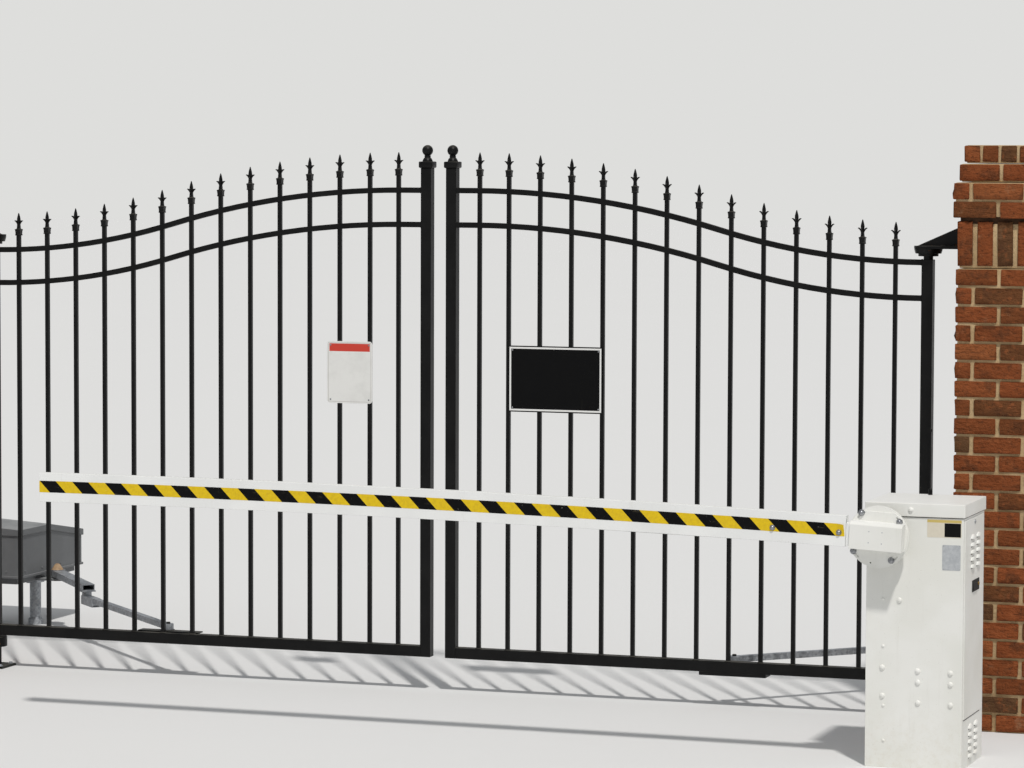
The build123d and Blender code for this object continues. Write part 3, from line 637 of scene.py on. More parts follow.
def dome(radius, height, sides=16):
    """A pressed dome or rivet head standing on the XY plane."""
    return smooth(drawn([(-0.001, radius), (height * 0.22, radius * 0.98), (height * 0.55, radius * 0.84),
                         (height * 0.82, radius * 0.55), (height, radius * 0.2)], sides), 60)


def hex_bolt(radius, height):
    """A washer with a hexagon head on it."""
    washer = bevelled(drawn([(-0.001, radius * 1.55), (0.0018, radius * 1.55)], 20), 0.0004, 1)
    head = bevelled(drawn([(0.0014, radius), (height * 0.85, radius), (height, radius * 0.86)], 6), 0.0005, 1)
    return smooth(joined([washer, head]))


def bead(length, radius, seed):
    """A weld bead along Z: short overlapping ripples."""
    steps = random.Random(seed)
    count = max(4, int(length / (radius * 0.9)))
    rings = [(0, radius * 0.45)]
    for i in range(1, count):
        swell = 1.08 if i % 2 else 0.86
        rings.append((length * i / count, radius * swell * steps.uniform(0.93, 1.07)))
    rings.append((length, radius * 0.45))
    return smooth(drawn(rings, 7), 80)


# Brick posts

COURSE = 0.0813
JOINT = 0.0113
SOLDIER_JOINT = 0.0187
BED = 0.068
CORNER_BRICK, LONG_ROW_GAP, SHORT_ROW_GAP = 0.182, 0.018, 0.019
SHAFT_COURSES = 25
SOLDIER = 0.2127
SHAFT_WIDTH, SOLDIER_WIDTH, CORBEL_WIDTH, STEP_WIDTH, TOP_WIDTH = 0.6096, 0.5996, 0.6316, 0.5896, 0.5536
RAKED_JOINT = 0.0165
MORTAR_BACK, RAKED_BACK = 0.0085, 0.0110
dice = random.Random(11)


def cast_brick(size, seed):
    """One tumbled brick about the origin: a block with a split face and worn edges."""
    piece = block([-s / 2 for s in size], [s / 2 for s in size])
    edit(piece)
    pick("edges", lambda edge: edge.calc_face_angle(0) > 1)
    bpy.ops.mesh.bevel(offset=0.0034, segments=1, affect="EDGES")
    pick("faces", lambda face: face.normal.y < -0.9)
    bpy.ops.mesh.subdivide(number_cuts=2)
    pick("verts", lambda vert: vert.co.y < 0.001 - size[1] / 2)
    bpy.ops.transform.vertex_random(offset=0.0046, uniform=0.0, normal=1.0, seed=seed)
    bpy.ops.mesh.select_all(action="SELECT")
    bpy.ops.transform.vertex_random(offset=0.0015, uniform=1.0, normal=0.0, seed=seed)
    done()
    return smooth(piece, 60)


def row_pattern(course, width):
    """Brick lengths along one face, from its left corner, with the joint between them."""
    if course % 2 == 0:
        corner = CORNER_BRICK * width / SHAFT_WIDTH
        return [corner, width - 2 * (corner + LONG_ROW_GAP), corner], LONG_ROW_GAP
    long_brick = (width - 2 * BED - 3 * SHORT_ROW_GAP) / 2
    return [BED, long_brick, long_brick, BED], SHORT_ROW_GAP


def laid_course(course, low, width):
    """The bricks of one course of a square post."""
    laid = []
    for face in range(4):
        lengths, gap = row_pattern(course + face, width)
        start = -width / 2
        for i, length in enumerate(lengths):
            corner = i in (0, len(lengths) - 1)
            if not (len(lengths) == 4 and corner):
                laid.append((face, start + length / 2, length, low + COURSE / 2, COURSE - JOINT, width))
            start += length + gap
    return laid


def header_course(low, height, joint, width):
    """Six bricks a face, end on or upright, up to the first one of the next face."""
    pitch = (width - BED) / 6
    return [(face, -width / 2 + BED / 2 + i * pitch, BED, low + height / 2, height - joint, width)
            for face in range(4) for i in range(6)]


def post_bricks():
    """Every brick of a post: (face, offset along it, length, height of its middle, height, post width)."""
    laid = []
    for course in range(SHAFT_COURSES):
        laid += laid_course(course, course * COURSE, SHAFT_WIDTH)
    level = SHAFT_COURSES * COURSE
    laid += header_course(level, SOLDIER, SOLDIER_JOINT, SOLDIER_WIDTH)
    level += SOLDIER
    for course, width in enumerate((CORBEL_WIDTH, CORBEL_WIDTH, STEP_WIDTH)):
        laid += laid_course(course, level, width)
        level += COURSE
    return laid + header_course(level, COURSE, JOINT, TOP_WIDTH)


def carry(piece, name, values):
    """Give a piece a value at each of its points."""
    layer = piece.data.attributes.new(name, "FLOAT", "POINT")
    layer.data.foreach_set("value", values)


def brick_post(side):
    """Every brick of a post, each copied from one of four worn bricks of its size."""
    middle = middle_of(f"{side}_post")
    masters = {}
    bricks = []
    for face, along, length, level, height, width in post_bricks():
        key = (round(length, 4), round(height, 4), dice.randrange(4))
        if key not in masters:
            masters[key] = cast_brick((length, BED, height), 7 + len(masters))
        inset = width / 2 - BED / 2 + dice.uniform(-0.0015, 0.0005)
        place = (at(middle.x, middle.y, 0) @ about("Z", 90 * face) @ at(along, -inset, level)
                 @ about("Y", dice.uniform(-0.35, 0.35)))
        twin = copied(masters[key], [place])[0]
        for name in ("tone", "shift"):
            carry(twin, name, [dice.random()] * len(twin.data.vertices))
        bricks.append(twin)
    dropped(*masters.values())
    work = dressed(f"{side}_bricks", joined(bricks), BRICK, "posts")
    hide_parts(f"{side}_post")


def mortar_tier(side, width, set_back, foot, head):
    """A square block of mortar inside a post, this far behind its face."""
    middle = middle_of(f"{side}_post")
    half = width / 2 - set_back
    return block((middle.x - half, middle.y - half, foot), (middle.x + half, middle.y + half, head))


def mortar_core(side):
    """The mortar behind the brick faces, with a deep joint raked out under the corbels and coloured dark brown
    as painted shade.
    """
    soldier_foot = SHAFT_COURSES * COURSE
    soldier_top = soldier_foot + SOLDIER
    joint_top = soldier_top + 0.011
    corbel_top = soldier_top + 2 * COURSE
    tiers = [(0, soldier_foot, SHAFT_WIDTH), (soldier_foot, soldier_top - RAKED_JOINT, SOLDIER_WIDTH),
             (joint_top, corbel_top, CORBEL_WIDTH), (corbel_top, corbel_top + COURSE, STEP_WIDTH),
             (corbel_top + COURSE, corbel_top + 2 * COURSE, TOP_WIDTH)]
    blocks = [bevelled(mortar_tier(side, width, MORTAR_BACK, foot, head - 0.003), 0.004)
              for foot, head, width in tiers]
    dressed(f"{side}_mortar", smooth(joined(blocks)), MORTAR, "posts")
    # The raked joint under the corbels is dark brown as painted shade.
    raked = mortar_tier(side, SOLDIER_WIDTH, RAKED_BACK, soldier_top - RAKED_JOINT - 0.004, joint_top + 0.001)
    dressed(f"{side}_raked_joint", bevelled(raked, 0.002), SHADED_MORTAR, "posts")


for side in SIDES:
    brick_post(side)
    mortar_core(side)


# Leaves: stiles with moulded caps, rails, pickets with their finials

PICKET, PICKET_Y = 0.01905, -0.0127
PITCH, FIRST_PITCH = 0.1524, 0.1434
FINIAL_HALF, FINIAL_HEIGHT = 0.021, 0.105
TUBE_HALF = 0.0254
STILE_FOOT, STILE_TOP = 0.160, 2.453
BOTTOM_RAIL_TOP, RAIL_HEIGHT = 0.2108, 0.0254
RAILS_AT_MEETING, RAILS_AT_HINGE = (2.3366, 2.1766), (2.0326, 1.8726)


def finial():
    """A square collar with a cup and a sloping crown, then a stem with a bud between four curled leaves."""
    collar = bevelled(squared([(0, 0.0125), (0.0008, 0.0134), (0.0056, 0.0134), (0.0064, 0.0127)]), 0.0005, 1)
    cup = squared([(0.0060, 0.0122), (0.014, 0.0125), (0.023, 0.0132), (0.0262, 0.0145), (0.0295, 0.0148),
                   (0.0305, 0.0138), (0.0328, 0.0084), (0.036, 0.0074), (0.05, 0.0066), (0.066, 0.005)])
    bud = drawn([(0.056, 0.0056), (0.064, 0.0064), (0.070, 0.0080), (0.0765, 0.0090), (0.083, 0.0084),
                 (0.0915, 0.0066), (0.0990, 0.0047), (0.1050, 0.0030), (0.1095, 0.0014)], 10)
    leaf = outlined([(0.0030, 0.0490), (0.0070, 0.0490), (0.0085, 0.0550), (0.0115, 0.0605), (0.0155, 0.0653),
                     (0.0190, 0.0686), (0.0224, 0.0704), (0.0218, 0.0726), (0.0188, 0.0734), (0.0150, 0.0728),
                     (0.0115, 0.0704), (0.0085, 0.0665), (0.0062, 0.0625), (0.0030, 0.0600)], 0.0080)
    bevelled(leaf, 0.0012, 1, 50)
    leaves = copied(leaf, [about("Z", 90 * i) for i in range(4)])
    dropped(leaf)
    return smooth(joined([collar, cup, bud, *leaves]), 50)


def bar_piece(low, high, width):
    """A square bar with rounded edges standing between two levels."""
    half = width / 2
    return bevelled(block((-half, -half, low), (half, half, high)), 0.0014, 2)


def pickets(side, master):
    """Fourteen bars through the punched rails, each with its finial and a weld at its foot."""
    way = SIDES[side]
    node = nodes[f"{side}_pickets"]
    near = ends(side, f"{side}_pickets")[0] + way * FINIAL_HALF
    tops = {}
    for corner in node.data.vertices:
        spot = node.matrix_world @ corner.co
        index = round(abs(spot.x - near) / PITCH)
        tops[index] = max(tops.get(index, 0), spot.z)
    pieces = []
    for index in range(14):
        x = near if index == 0 else near + way * (FIRST_PITCH + (index - 1) * PITCH)
        collar = tops[index] - FINIAL_HEIGHT
        bar = moved(bar_piece(BOTTOM_RAIL_TOP, collar + 0.002, PICKET), at(x, PICKET_Y, 0))
        weld = squared([(0, 0.0150), (0.0016, 0.0128), (0.0045, 0.0106)])
        applied(moved(weld, at(x, PICKET_Y, BOTTOM_RAIL_TOP)), "BEVEL", width=0.0008, segments=2)
        pieces += [flattened(bar), smooth(weld, 60), *copied(master, [at(x, PICKET_Y, collar)])]
    work = dressed(f"{side}_pickets_worked", joined(pieces), BLACK, f"{side}_leaf")
    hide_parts(f"{side}_pickets")


def stile_cap():
    """A slab with a rounded edge, a smaller square, a ring, a neck and a ball, up from the stile's top."""
    slab = squared([(-0.001, 0.0256), (0.001, 0.0290), (0.0030, 0.0322), (0.0055, 0.0330), (0.0262, 0.0330),
                    (0.0288, 0.0320), (0.0302, 0.0290), (0.0306, 0.0240)])
    bevelled(slab, 0.0028, 2, 50)
    rings = [(0.0292, 0.0240), (0.0325, 0.0243), (0.0350, 0.0236), (0.0400, 0.0212), (0.0440, 0.0190),
             (0.0458, 0.0180), (0.0466, 0.0158), (0.0485, 0.0148), (0.0580, 0.0148)]
    centre, radius = 0.0815, 0.0257
    for i in range(3, 19):
        turn = pi * i / 18
        rings.append((centre - radius * cos(turn), max(radius * sin(turn), 0.0012)))
    return smooth(joined([slab, drawn(rings, 28)]), 45)


def meeting_stile(side, cap):
    x = middle_of(f"{side}_meeting_stile").x
    tube = block((x - TUBE_HALF, -TUBE_HALF, STILE_FOOT), (x + TUBE_HALF, TUBE_HALF, STILE_TOP))
    pieces = [flattened(bevelled(tube, 0.003, 3)), *copied(cap, [at(x, 0, STILE_TOP)])]
    work = dressed(f"{side}_meeting_stile_worked", joined(pieces), BLACK, f"{side}_leaf")
    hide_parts(f"{side}_meeting_stile")


def rail_welds(side):
    """Beads where the rails meet the stiles: upright ones, flat ones and tall ones at the bottom rail."""
    way = SIDES[side]
    inner = middle_of(f"{side}_meeting_stile").x + way * TUBE_HALF
    outer = middle_of(f"{side}_hinge_stile").x - way * TUBE_HALF
    upright, tall, flat = bead(0.026, 0.0024, 3), bead(0.050, 0.0028, 5), bead(0.024, 0.0024, 9)
    places, tall_places, flat_places = [], [], []
    for x, levels in ((inner, RAILS_AT_MEETING), (outer, RAILS_AT_HINGE)):
        places += [at(x, -0.0246, level) for level in levels]
        tall_places += [at(x, y, STILE_FOOT + 0.0004) for y in (-0.0250, 0.0250)]
        flat_levels = [*levels, *[level + RAIL_HEIGHT for level in levels], BOTTOM_RAIL_TOP]
        flat_places += [at(x, -0.0245, level) @ TO_YARD for level in flat_levels]
    pieces = copied(upright, places) + copied(tall, tall_places) + copied(flat, flat_places)
    dropped(upright, tall, flat)
    dressed(f"{side}_rail_welds", joined(pieces), BLACK, f"{side}_leaf")


finial_master = finial()
cap_master = stile_cap()
for side in SIDES:
    pickets(side, finial_master)
    meeting_stile(side, cap_master)
    for bar, width, segments in (("hinge_stile", 0.0028, 3), ("bottom_rail", 0.0028, 3),
                                 ("top_rail", 0.0018, 2), ("lower_rail", 0.0018, 2), ("arm_plate", 0.0012, 2)):
        softened(f"{side}_{bar}", BLACK, width, segments)
    rail_welds(side)
dropped(finial_master, cap_master)


# Hinges

def hinge_metal(side):
    """Bearing, bracket and foot bearing with welds and anchor bolts."""
    way = SIDES[side]
    thickness = 0.012
    bracket_low, bracket_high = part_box(f"{side}_top_bracket")
    axis = middle_of(f"{side}_top_bearing").x
    plate_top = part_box(f"{side}_top_bearing")[1].z + thickness
    wall = ends(side, f"{side}_top_bracket")[1] - way * thickness
    softened(f"{side}_top_bearing", RUSTY, 0.0016)
    softened(f"{side}_top_bracket", RUSTY, 0.0014)
    softened(f"{side}_foot_bearing", RUSTY, 0.002)
    long_bead, short_bead = bead(0.160, 0.0030, 21), bead(0.112, 0.0032, 23)
    pieces = copied(long_bead, [at(axis + way * 0.055, y, plate_top + 0.001) @ about("Y", 90 * way)
                                for y in (-0.0068, 0.0068)])
    pieces += copied(short_bead, [at(wall - way * 0.001, y, plate_top) for y in (-0.0066, 0.0066)])
    pieces += copied(short_bead, [at(wall - way * 0.001, -0.056, z) @ TO_YARD
                                  for z in (plate_top, plate_top - thickness)])
    dropped(long_bead, short_bead)
    dressed(f"{side}_bracket_welds", joined(pieces), RUSTY, "posts")
    places = [at(wall, y, z) @ about("Y", -90 * way)
              for y in (-0.060, 0.060) for z in (bracket_low.z + 0.022, bracket_high.z - 0.022)]
    places += [at(axis + dx, dy, thickness) for dx in (-0.055, 0.055) for dy in (-0.055, 0.055)]
    set_out(f"{side}_hinge_bolts", hex_bolt(0.0085, 0.008), places, ZINC, "posts")


for side in SIDES:
    hinge_metal(side)


# Signs

def sign_screws(node, inset, body):
    """Pan heads in the corners of a sign."""
    low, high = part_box(node)
    spots = [at(x, low.y, z) @ TO_ROAD
             for x in (low.x + inset, high.x - inset) for z in (low.z + inset, high.z - inset)]
    set_out(f"{node}_screws", dome(0.0042, 0.0022, 12), spots, BRIGHT, body)


softened("left_sign", NOTICE, 0.0005, 1)
softened("right_sign", PANEL, 0.0005, 1)
sign_screws("left_sign", 0.018, "left_leaf")
sign_screws("right_sign", 0.020, "right_leaf")


# Leaf operators and their arms

def operator(side):
    """Housing, hood, base and legs, with a flange, its screws, and clamps and collars on the pipes."""
    housing_low, housing_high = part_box(f"{side}_operator_housing")
    legs_low, legs_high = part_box(f"{side}_operator_legs")
    softened(f"{side}_operator_housing", GREY, 0.006, 3)
    softened(f"{side}_operator_hood", GREY, 0.009, 3)
    softened(f"{side}_operator_base", GREY, 0.002)
    softened(f"{side}_operator_legs", ZINC, 0.002)
    proud = 0.006
    flange = block((housing_low.x - proud, housing_low.y - proud, housing_low.z - 0.004),
                   (housing_high.x + proud, housing_high.y + proud, housing_low.z + 0.008))
    dressed(f"{side}_operator_flange", flattened(bevelled(flange, 0.0016)), GREY, "posts")
    gate_x = ends(side, f"{side}_operator_housing")[0]
    level = housing_low.z + 0.030
    spots = [at(gate_x, housing_low.y + y, level) @ about("Y", -90 * SIDES[side])
             for y in (0.06, 0.26, 0.48, 0.68)]
    spots += [at(housing_low.x + x, housing_low.y, level) @ TO_ROAD for x in (0.08, 0.37)]
    set_out(f"{side}_housing_screws", hex_bolt(0.0045, 0.0035), spots, GREY, "posts")
    y = (legs_low.y + legs_high.y) / 2
    clamps = []
    for x in (legs_low.x + 0.038, legs_high.x - 0.038):
        clamps.append(bevelled(block((x - 0.032, y - 0.046, 0.2235), (x + 0.032, y + 0.046, 0.2525)), 0.002))
        collar = drawn([(0.030, 0.0345), (0.034, 0.0352), (0.038, 0.0318)], 28)
        clamps.append(bevelled(moved(collar, at(x, y, 0)), 0.001, 1, 60))
    dressed(f"{side}_pipe_clamps", flattened(joined(clamps)), ZINC, "posts")


def arm(side):
    """Crank and link, with the cone cap on its washer and the open sleeve at the elbow."""
    axis = {joint["name"]: joint["pos_m"] for joint in frame["joints"]}
    shaft = Vector(axis[f"{side}_crank_turn"])
    crank_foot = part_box(f"{side}_crank")[0].y
    link_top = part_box(f"{side}_link")[1].z
    elbow = Vector((ends(side, f"{side}_crank")[0] + SIDES[side] * 0.0498, crank_foot + 0.0515, 0))
    softened(f"{side}_crank", ZINC, 0.0012, pierced=True)
    softened(f"{side}_link", ZINC, 0.0014, pierced=True)
    cap = smooth(drawn([(0.3060, 0.0325), (0.3085, 0.0325), (0.3095, 0.0312), (0.318, 0.0258), (0.330, 0.0178),
                        (0.3380, 0.0112), (0.3400, 0.0070), (0.3406, 0.0020)], 28), 50)
    dressed(f"{side}_cone_cap", moved(cap, at(shaft.x, shaft.y, 0)), TAN, f"{side}_crank")
    washer = smooth(bevelled(drawn([(0.3055, 0.0415), (0.3085, 0.0415)], 32), 0.0006, 1))
    dressed(f"{side}_shaft_washer", moved(washer, at(shaft.x, shaft.y, 0)), BRIGHT, f"{side}_crank")
    reach = Vector(axis[f"{side}_link_turn"]) - elbow
    lie = at(elbow.x, elbow.y, 0) @ about("Z", degrees(atan2(reach.y, reach.x)))
    sleeve = block((-0.0300, -0.0250, link_top - 0.0460), (0.1400, 0.0250, link_top + 0.0002))
    moved(bevelled(sleeve, 0.0040, 2), lie)
    dressed(f"{side}_elbow_sleeve", flattened(sleeve), ZINC, f"{side}_link")
    # A dark block at the sleeve's open end as painted shade in its bore.
    bore = moved(block((0.1380, -0.0150, link_top - 0.0420), (0.1403, 0.0150, link_top - 0.0060)), lie)
    dressed(f"{side}_sleeve_gap", bore, DARK, f"{side}_link")


for side in SIDES:
    operator(side)
    arm(side)


# Barrier cabinet

cabinet_low, cabinet_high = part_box("barrier_cabinet")
CABINET_X, CABINET_FACE, CABINET_SIDE = cabinet_low.x, cabinet_low.y, cabinet_high.x
DOOR_SIDE = CABINET_SIDE + 0.003
LARGE_DOMES = ((0.141, 0.696), (0.071, 0.414), (0.072, 0.297), (0.220, 0.406), (0.221, 0.359), (0.222, 0.274),
               (0.357, 0.403), (0.358, 0.356), (0.359, 0.271))
SMALL_DOMES = ((0.072, 0.699), (0.074, 0.503), (0.076, 0.256), (0.078, 0.111))
LOUVRE_COLUMNS, LOUVRE_PITCH = (-1.1830, -1.0730), 0.0300
DOOR_LOUVRES_TOP, VENTS_TOP = 0.9465, 0.1580
LID_LIFT, ANTENNA_SHIFT = 0.0045, -0.0275


def on_cabinet(x, z):
    """A place on the cabinet's face, from its lower left corner."""
    return at(CABINET_X + x, CABINET_FACE, z) @ TO_ROAD


def label(name, left, foot, right, top, finish, thickness=0.0006):
    """A thin sheet with round corners on the cabinet's face, between these edges."""
    sheet = block((left, CABINET_FACE - thickness, foot), (right, CABINET_FACE, top))
    edit(sheet)
    pick("edges", lambda edge: abs(edge.verts[0].co.y - edge.verts[1].co.y) > thickness / 2)
    bpy.ops.mesh.bevel(offset=0.003, segments=3, affect="EDGES")
    done()
    dressed(name, sheet, finish, "posts")


def louvres():
    """Pressed hoods over dark slots on the side door, and the vents below it; the slots are dark blocks of
    painted shade.
    """
    let_go()
    bpy.ops.mesh.primitive_uv_sphere_add(segments=20, ring_count=10, radius=1)
    hood = bpy.context.object
    hood.scale = (0.0105, 0.0355, 0.0165)
    settle()
    edit(hood)
    for spot, way in (((0, 0, 0), (1, 0, 0)), ((0, 0, -0.0008), (0, 0, 1))):
        bpy.ops.mesh.select_all(action="SELECT")
        bpy.ops.mesh.bisect(plane_co=spot, plane_no=way, use_fill=True, clear_inner=True)
    done()
    # A dark block under each hood as painted shade in its opening.
    slot = block((-0.0005, -0.0330, -0.0050), (0.0012, 0.0330, -0.0006))
    places = [at(x, y, top - i * LOUVRE_PITCH)
              for x, top in ((DOOR_SIDE, DOOR_LOUVRES_TOP), (CABINET_SIDE, VENTS_TOP))
              for y in LOUVRE_COLUMNS for i in range(5)]
    set_out("louvre_hoods", smooth(hood, 50), places, WHITE, "posts")
    set_out("louvre_slots", slot, places, DARK, "posts")


def door_foot():
    """The open line under the side door, a dark strip of painted shade."""
    gap = block((CABINET_SIDE - 0.001, -1.3200, 0.2042), (CABINET_SIDE + 0.0014, -1.0100, 0.2076))
    dressed("door_foot_gap", gap, DARK, "posts")


def locks():
    """A round key plug above the louvres and a paddle latch in its dished plate below them."""
    key_place = at(DOOR_SIDE, -1.1420, 1.0120) @ TO_RIGHT
    plug = bevelled(drawn([(-0.001, 0.0085), (0.0030, 0.0085), (0.0036, 0.0070)], 20), 0.0004, 1)
    dressed("key_plug", smooth(moved(plug, key_place)), BRIGHT, "posts")
    # A dark block on the key plug as painted shade in its slot.
    key = moved(block((-0.0012, -0.0042, 0.0030), (0.0012, 0.0042, 0.0040)), key_place)
    dressed("key_slot", key, DARK, "posts")
    dish = bevelled(block((DOOR_SIDE - 0.001, -1.1880, 0.7220), (DOOR_SIDE + 0.0025, -1.0530, 0.7700)), 0.0012)
    dressed("latch_dish", flattened(dish), DARK, "posts")
    paddle = bevelled(block((DOOR_SIDE + 0.002, -1.1780, 0.7270), (DOOR_SIDE + 0.0075, -1.0950, 0.7600)), 0.002)
    edit(paddle)
    pick("verts", lambda vert: vert.co.z > 0.74)
    bpy.ops.transform.translate(value=(-0.003, 0, 0))
    done()
    dressed("latch_paddle", flattened(paddle), DARK, "posts")
    catch = moved(drawn([(0, 0.0072), (0.004, 0.0072), (0.005, 0.006)], 18),
                  at(DOOR_SIDE + 0.002, -1.0740, 0.7480) @ TO_RIGHT)
    dressed("latch_plug", smooth(bevelled(catch, 0.0004, 1)), BRASS, "posts")


def cabinet():
    """Cabinet, door, lid and shaft housing, with domed heads, labels, the lid's seal and the antenna."""
    softened("barrier_cabinet", WHITE, 0.003, 3)
    softened("barrier_door", WHITE, 0.002)
    lid = softened("barrier_lid", WHITE, 0.0035, 3)
    edit(lid)
    pick("verts", lambda vert: vert.co.z > 1.07)
    bpy.ops.transform.translate(value=(0, 0, LID_LIFT))
    done()
    softened("barrier_shaft_housing", WHITE, 0.003)
    large, small = dome(0.0118, 0.0082, 18), dome(0.0068, 0.0045, 14)
    heads = copied(large, [on_cabinet(x, z) for x, z in LARGE_DOMES])
    heads += copied(small, [on_cabinet(x, z) for x, z in SMALL_DOMES])
    dropped(large, small)
    dressed("cabinet_domes", joined(heads), WHITE, "posts")
    lid_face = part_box("barrier_lid")[0].y
    bolt = moved(dome(0.0112, 0.0080, 18), at(CABINET_X + 0.186, lid_face, 1.0720) @ TO_ROAD)
    dressed("lid_bolt", bolt, WHITE, "posts")
    edges = (CABINET_X + 0.254, 0.962, CABINET_X + 0.397, 1.037)
    label("blank_label", *edges, split_finish(*edges))
    label("silver_plate", CABINET_X + 0.318, 0.828, CABINET_X + 0.394, 0.932, SILVER, 0.0009)
    spots = [on_cabinet(x, z) for x in (0.3225, 0.3895) for z in (0.8325, 0.9275)]
    set_out("plate_rivets", dome(0.0022, 0.0016, 10), spots, BRIGHT, "posts")
    proud = 0.0012
    seal = block((CABINET_X - proud, CABINET_FACE - proud, 1.0405),
                 (CABINET_SIDE + proud, cabinet_high.y + proud, 1.0440))
    dressed("lid_seal", flattened(bevelled(seal, 0.0006, 1)), DARK, "posts")
    whip = drawn([(1.0990, 0.0100), (1.1010, 0.0100), (1.1020, 0.0078), (1.1200, 0.0074), (1.1230, 0.0058),
                  (1.1265, 0.0040), (1.1290, 0.0018), (1.3640, 0.0014), (1.3650, 0.0038), (1.3670, 0.0046),
                  (1.3750, 0.0046), (1.3768, 0.0036)], 16)
    foot = middle_of("antenna")
    moved(smooth(whip, 40), at(foot.x + ANTENNA_SHIFT, foot.y, 0))
    dressed("antenna_worked", whip, BLACK, "posts")
    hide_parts("antenna")


cabinet()
louvres()
locks()
door_foot()


# Barrier arm

ARM = "barrier_arm"
HUB = Vector((-0.3738, 0, 0.962))
TILT = radians(3)
REST = radians(2)
DROOP = 95.616
BOLT_CIRCLE, BOLT_TURNS = 0.1150, (36.2, 126.2, 216.2, 306.2)
BOOM_BOLTS, BOOM_BOLT_LINE = (0.0281, 0.3095), -0.0068
TAPE_LINE, TAPE_HALF = 0.0035, 0.0254
TAPE_START, TAPE_END, TAPE_STEPS = 0.0045, 3.657, 72
clamp_low, clamp_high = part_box("barrier_clamp")
boom_low, boom_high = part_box("boom")


def on_hub(along, above, face):
    """A place on the tilted hub, from its middle."""
    x = HUB.x + along * cos(TILT) + above * sin(TILT)
    z = HUB.z - along * sin(TILT) + above * cos(TILT)
    return at(x, face, z) @ TO_ROAD @ about("Z", degrees(TILT))


def on_boom(along, above, face):
    """A place on the boom: this far from its hub end and above its middle line."""
    turn = along / DROOP
    out = -0.1225 - (DROOP + above) * sin(turn)
    rise = 0.021 + (DROOP + above) * cos(turn) - DROOP
    x = HUB.x + out * cos(REST) + rise * sin(REST)
    z = HUB.z - out * sin(REST) + rise * cos(REST)
    return Vector((x, face, z))


def slot_cutter(start, sweep, radius, width, face):
    """A bar spun round the hub's axis, to cut one arc slot in the face plate."""
    let_go()
    bpy.ops.mesh.primitive_plane_add(size=1, location=(radius, 0, 0), rotation=(pi / 2, 0, 0))
    bar = bpy.context.object
    bar.scale = (width, 0.010, 1)
    settle()
    edit(bar)
    bpy.ops.mesh.select_all(action="SELECT")
    bpy.ops.mesh.spin(steps=10, angle=radians(sweep), center=(0, 0, 0), axis=(0, 0, 1))
    bpy.ops.mesh.select_all(action="SELECT")
    bpy.ops.mesh.remove_doubles(threshold=0.00001)
    closed()
    return moved(bar, on_hub(0, 0, face) @ about("Z", start))


def tape():
    """A strip along the boom's face that has let go at the hub end."""
    face = boom_low.y - 0.0004
    length = TAPE_END - TAPE_START
    line = [on_boom(TAPE_START + length * i / TAPE_STEPS, TAPE_LINE, face) for i in range(TAPE_STEPS + 1)]
    first = line[0]
    strip = block((first.x - 0.0001, face - 0.00015, first.z - TAPE_HALF),
                  (first.x, face + 0.00015, first.z + TAPE_HALF))
    edit(strip)
    pick("faces", lambda item: item.normal.x < -0.9)
    for here, there in zip(line, line[1:]):
        pull(there - here)
    pick("edges", lambda edge: all(vert.co.x > first.x - 0.056 for vert in edge.verts))
    bpy.ops.mesh.subdivide(number_cuts=5)
    for reach in (0.030, 0.024, 0.018, 0.012, 0.006):
        pick("verts", lambda vert: (first.x - vert.co.x) + (first.z + TAPE_HALF - vert.co.z) * 0.8 < reach)
        bpy.ops.transform.translate(value=(-0.0008, -0.0011, -0.0006))
    closed()
    hub_end = on_boom(0, 0, face).x
    along = [(hub_end - vert.co.x) / cos(REST) for vert in strip.data.vertices]
    above = [(vert.co - on_boom(s, 0, face)).z for vert, s in zip(strip.data.vertices, along)]
    carry(strip, "along", along)
    carry(strip, "above", above)
    dressed("striped_tape", smooth(strip, 30), TAPE, ARM)


def clamp():
    """The cover over the hub's face, with its upper edge sloped."""
    cover = block((-0.1067, clamp_low.y, -0.0500), (0.1137, clamp_high.y, 0.0640))
    edit(cover)
    pick("edges", lambda edge: all(vert.co.z > 0.06 and vert.co.y < clamp_low.y + 0.001 for vert in edge.verts))
    bpy.ops.mesh.bevel(offset=0.0130, segments=1, affect="EDGES")
    done()
    moved(bevelled(cover, 0.0018), at(HUB.x, 0, HUB.z) @ about("Y", degrees(TILT)))
    dressed("barrier_clamp_worked", flattened(cover), WHITE, ARM)
    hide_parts("barrier_clamp")


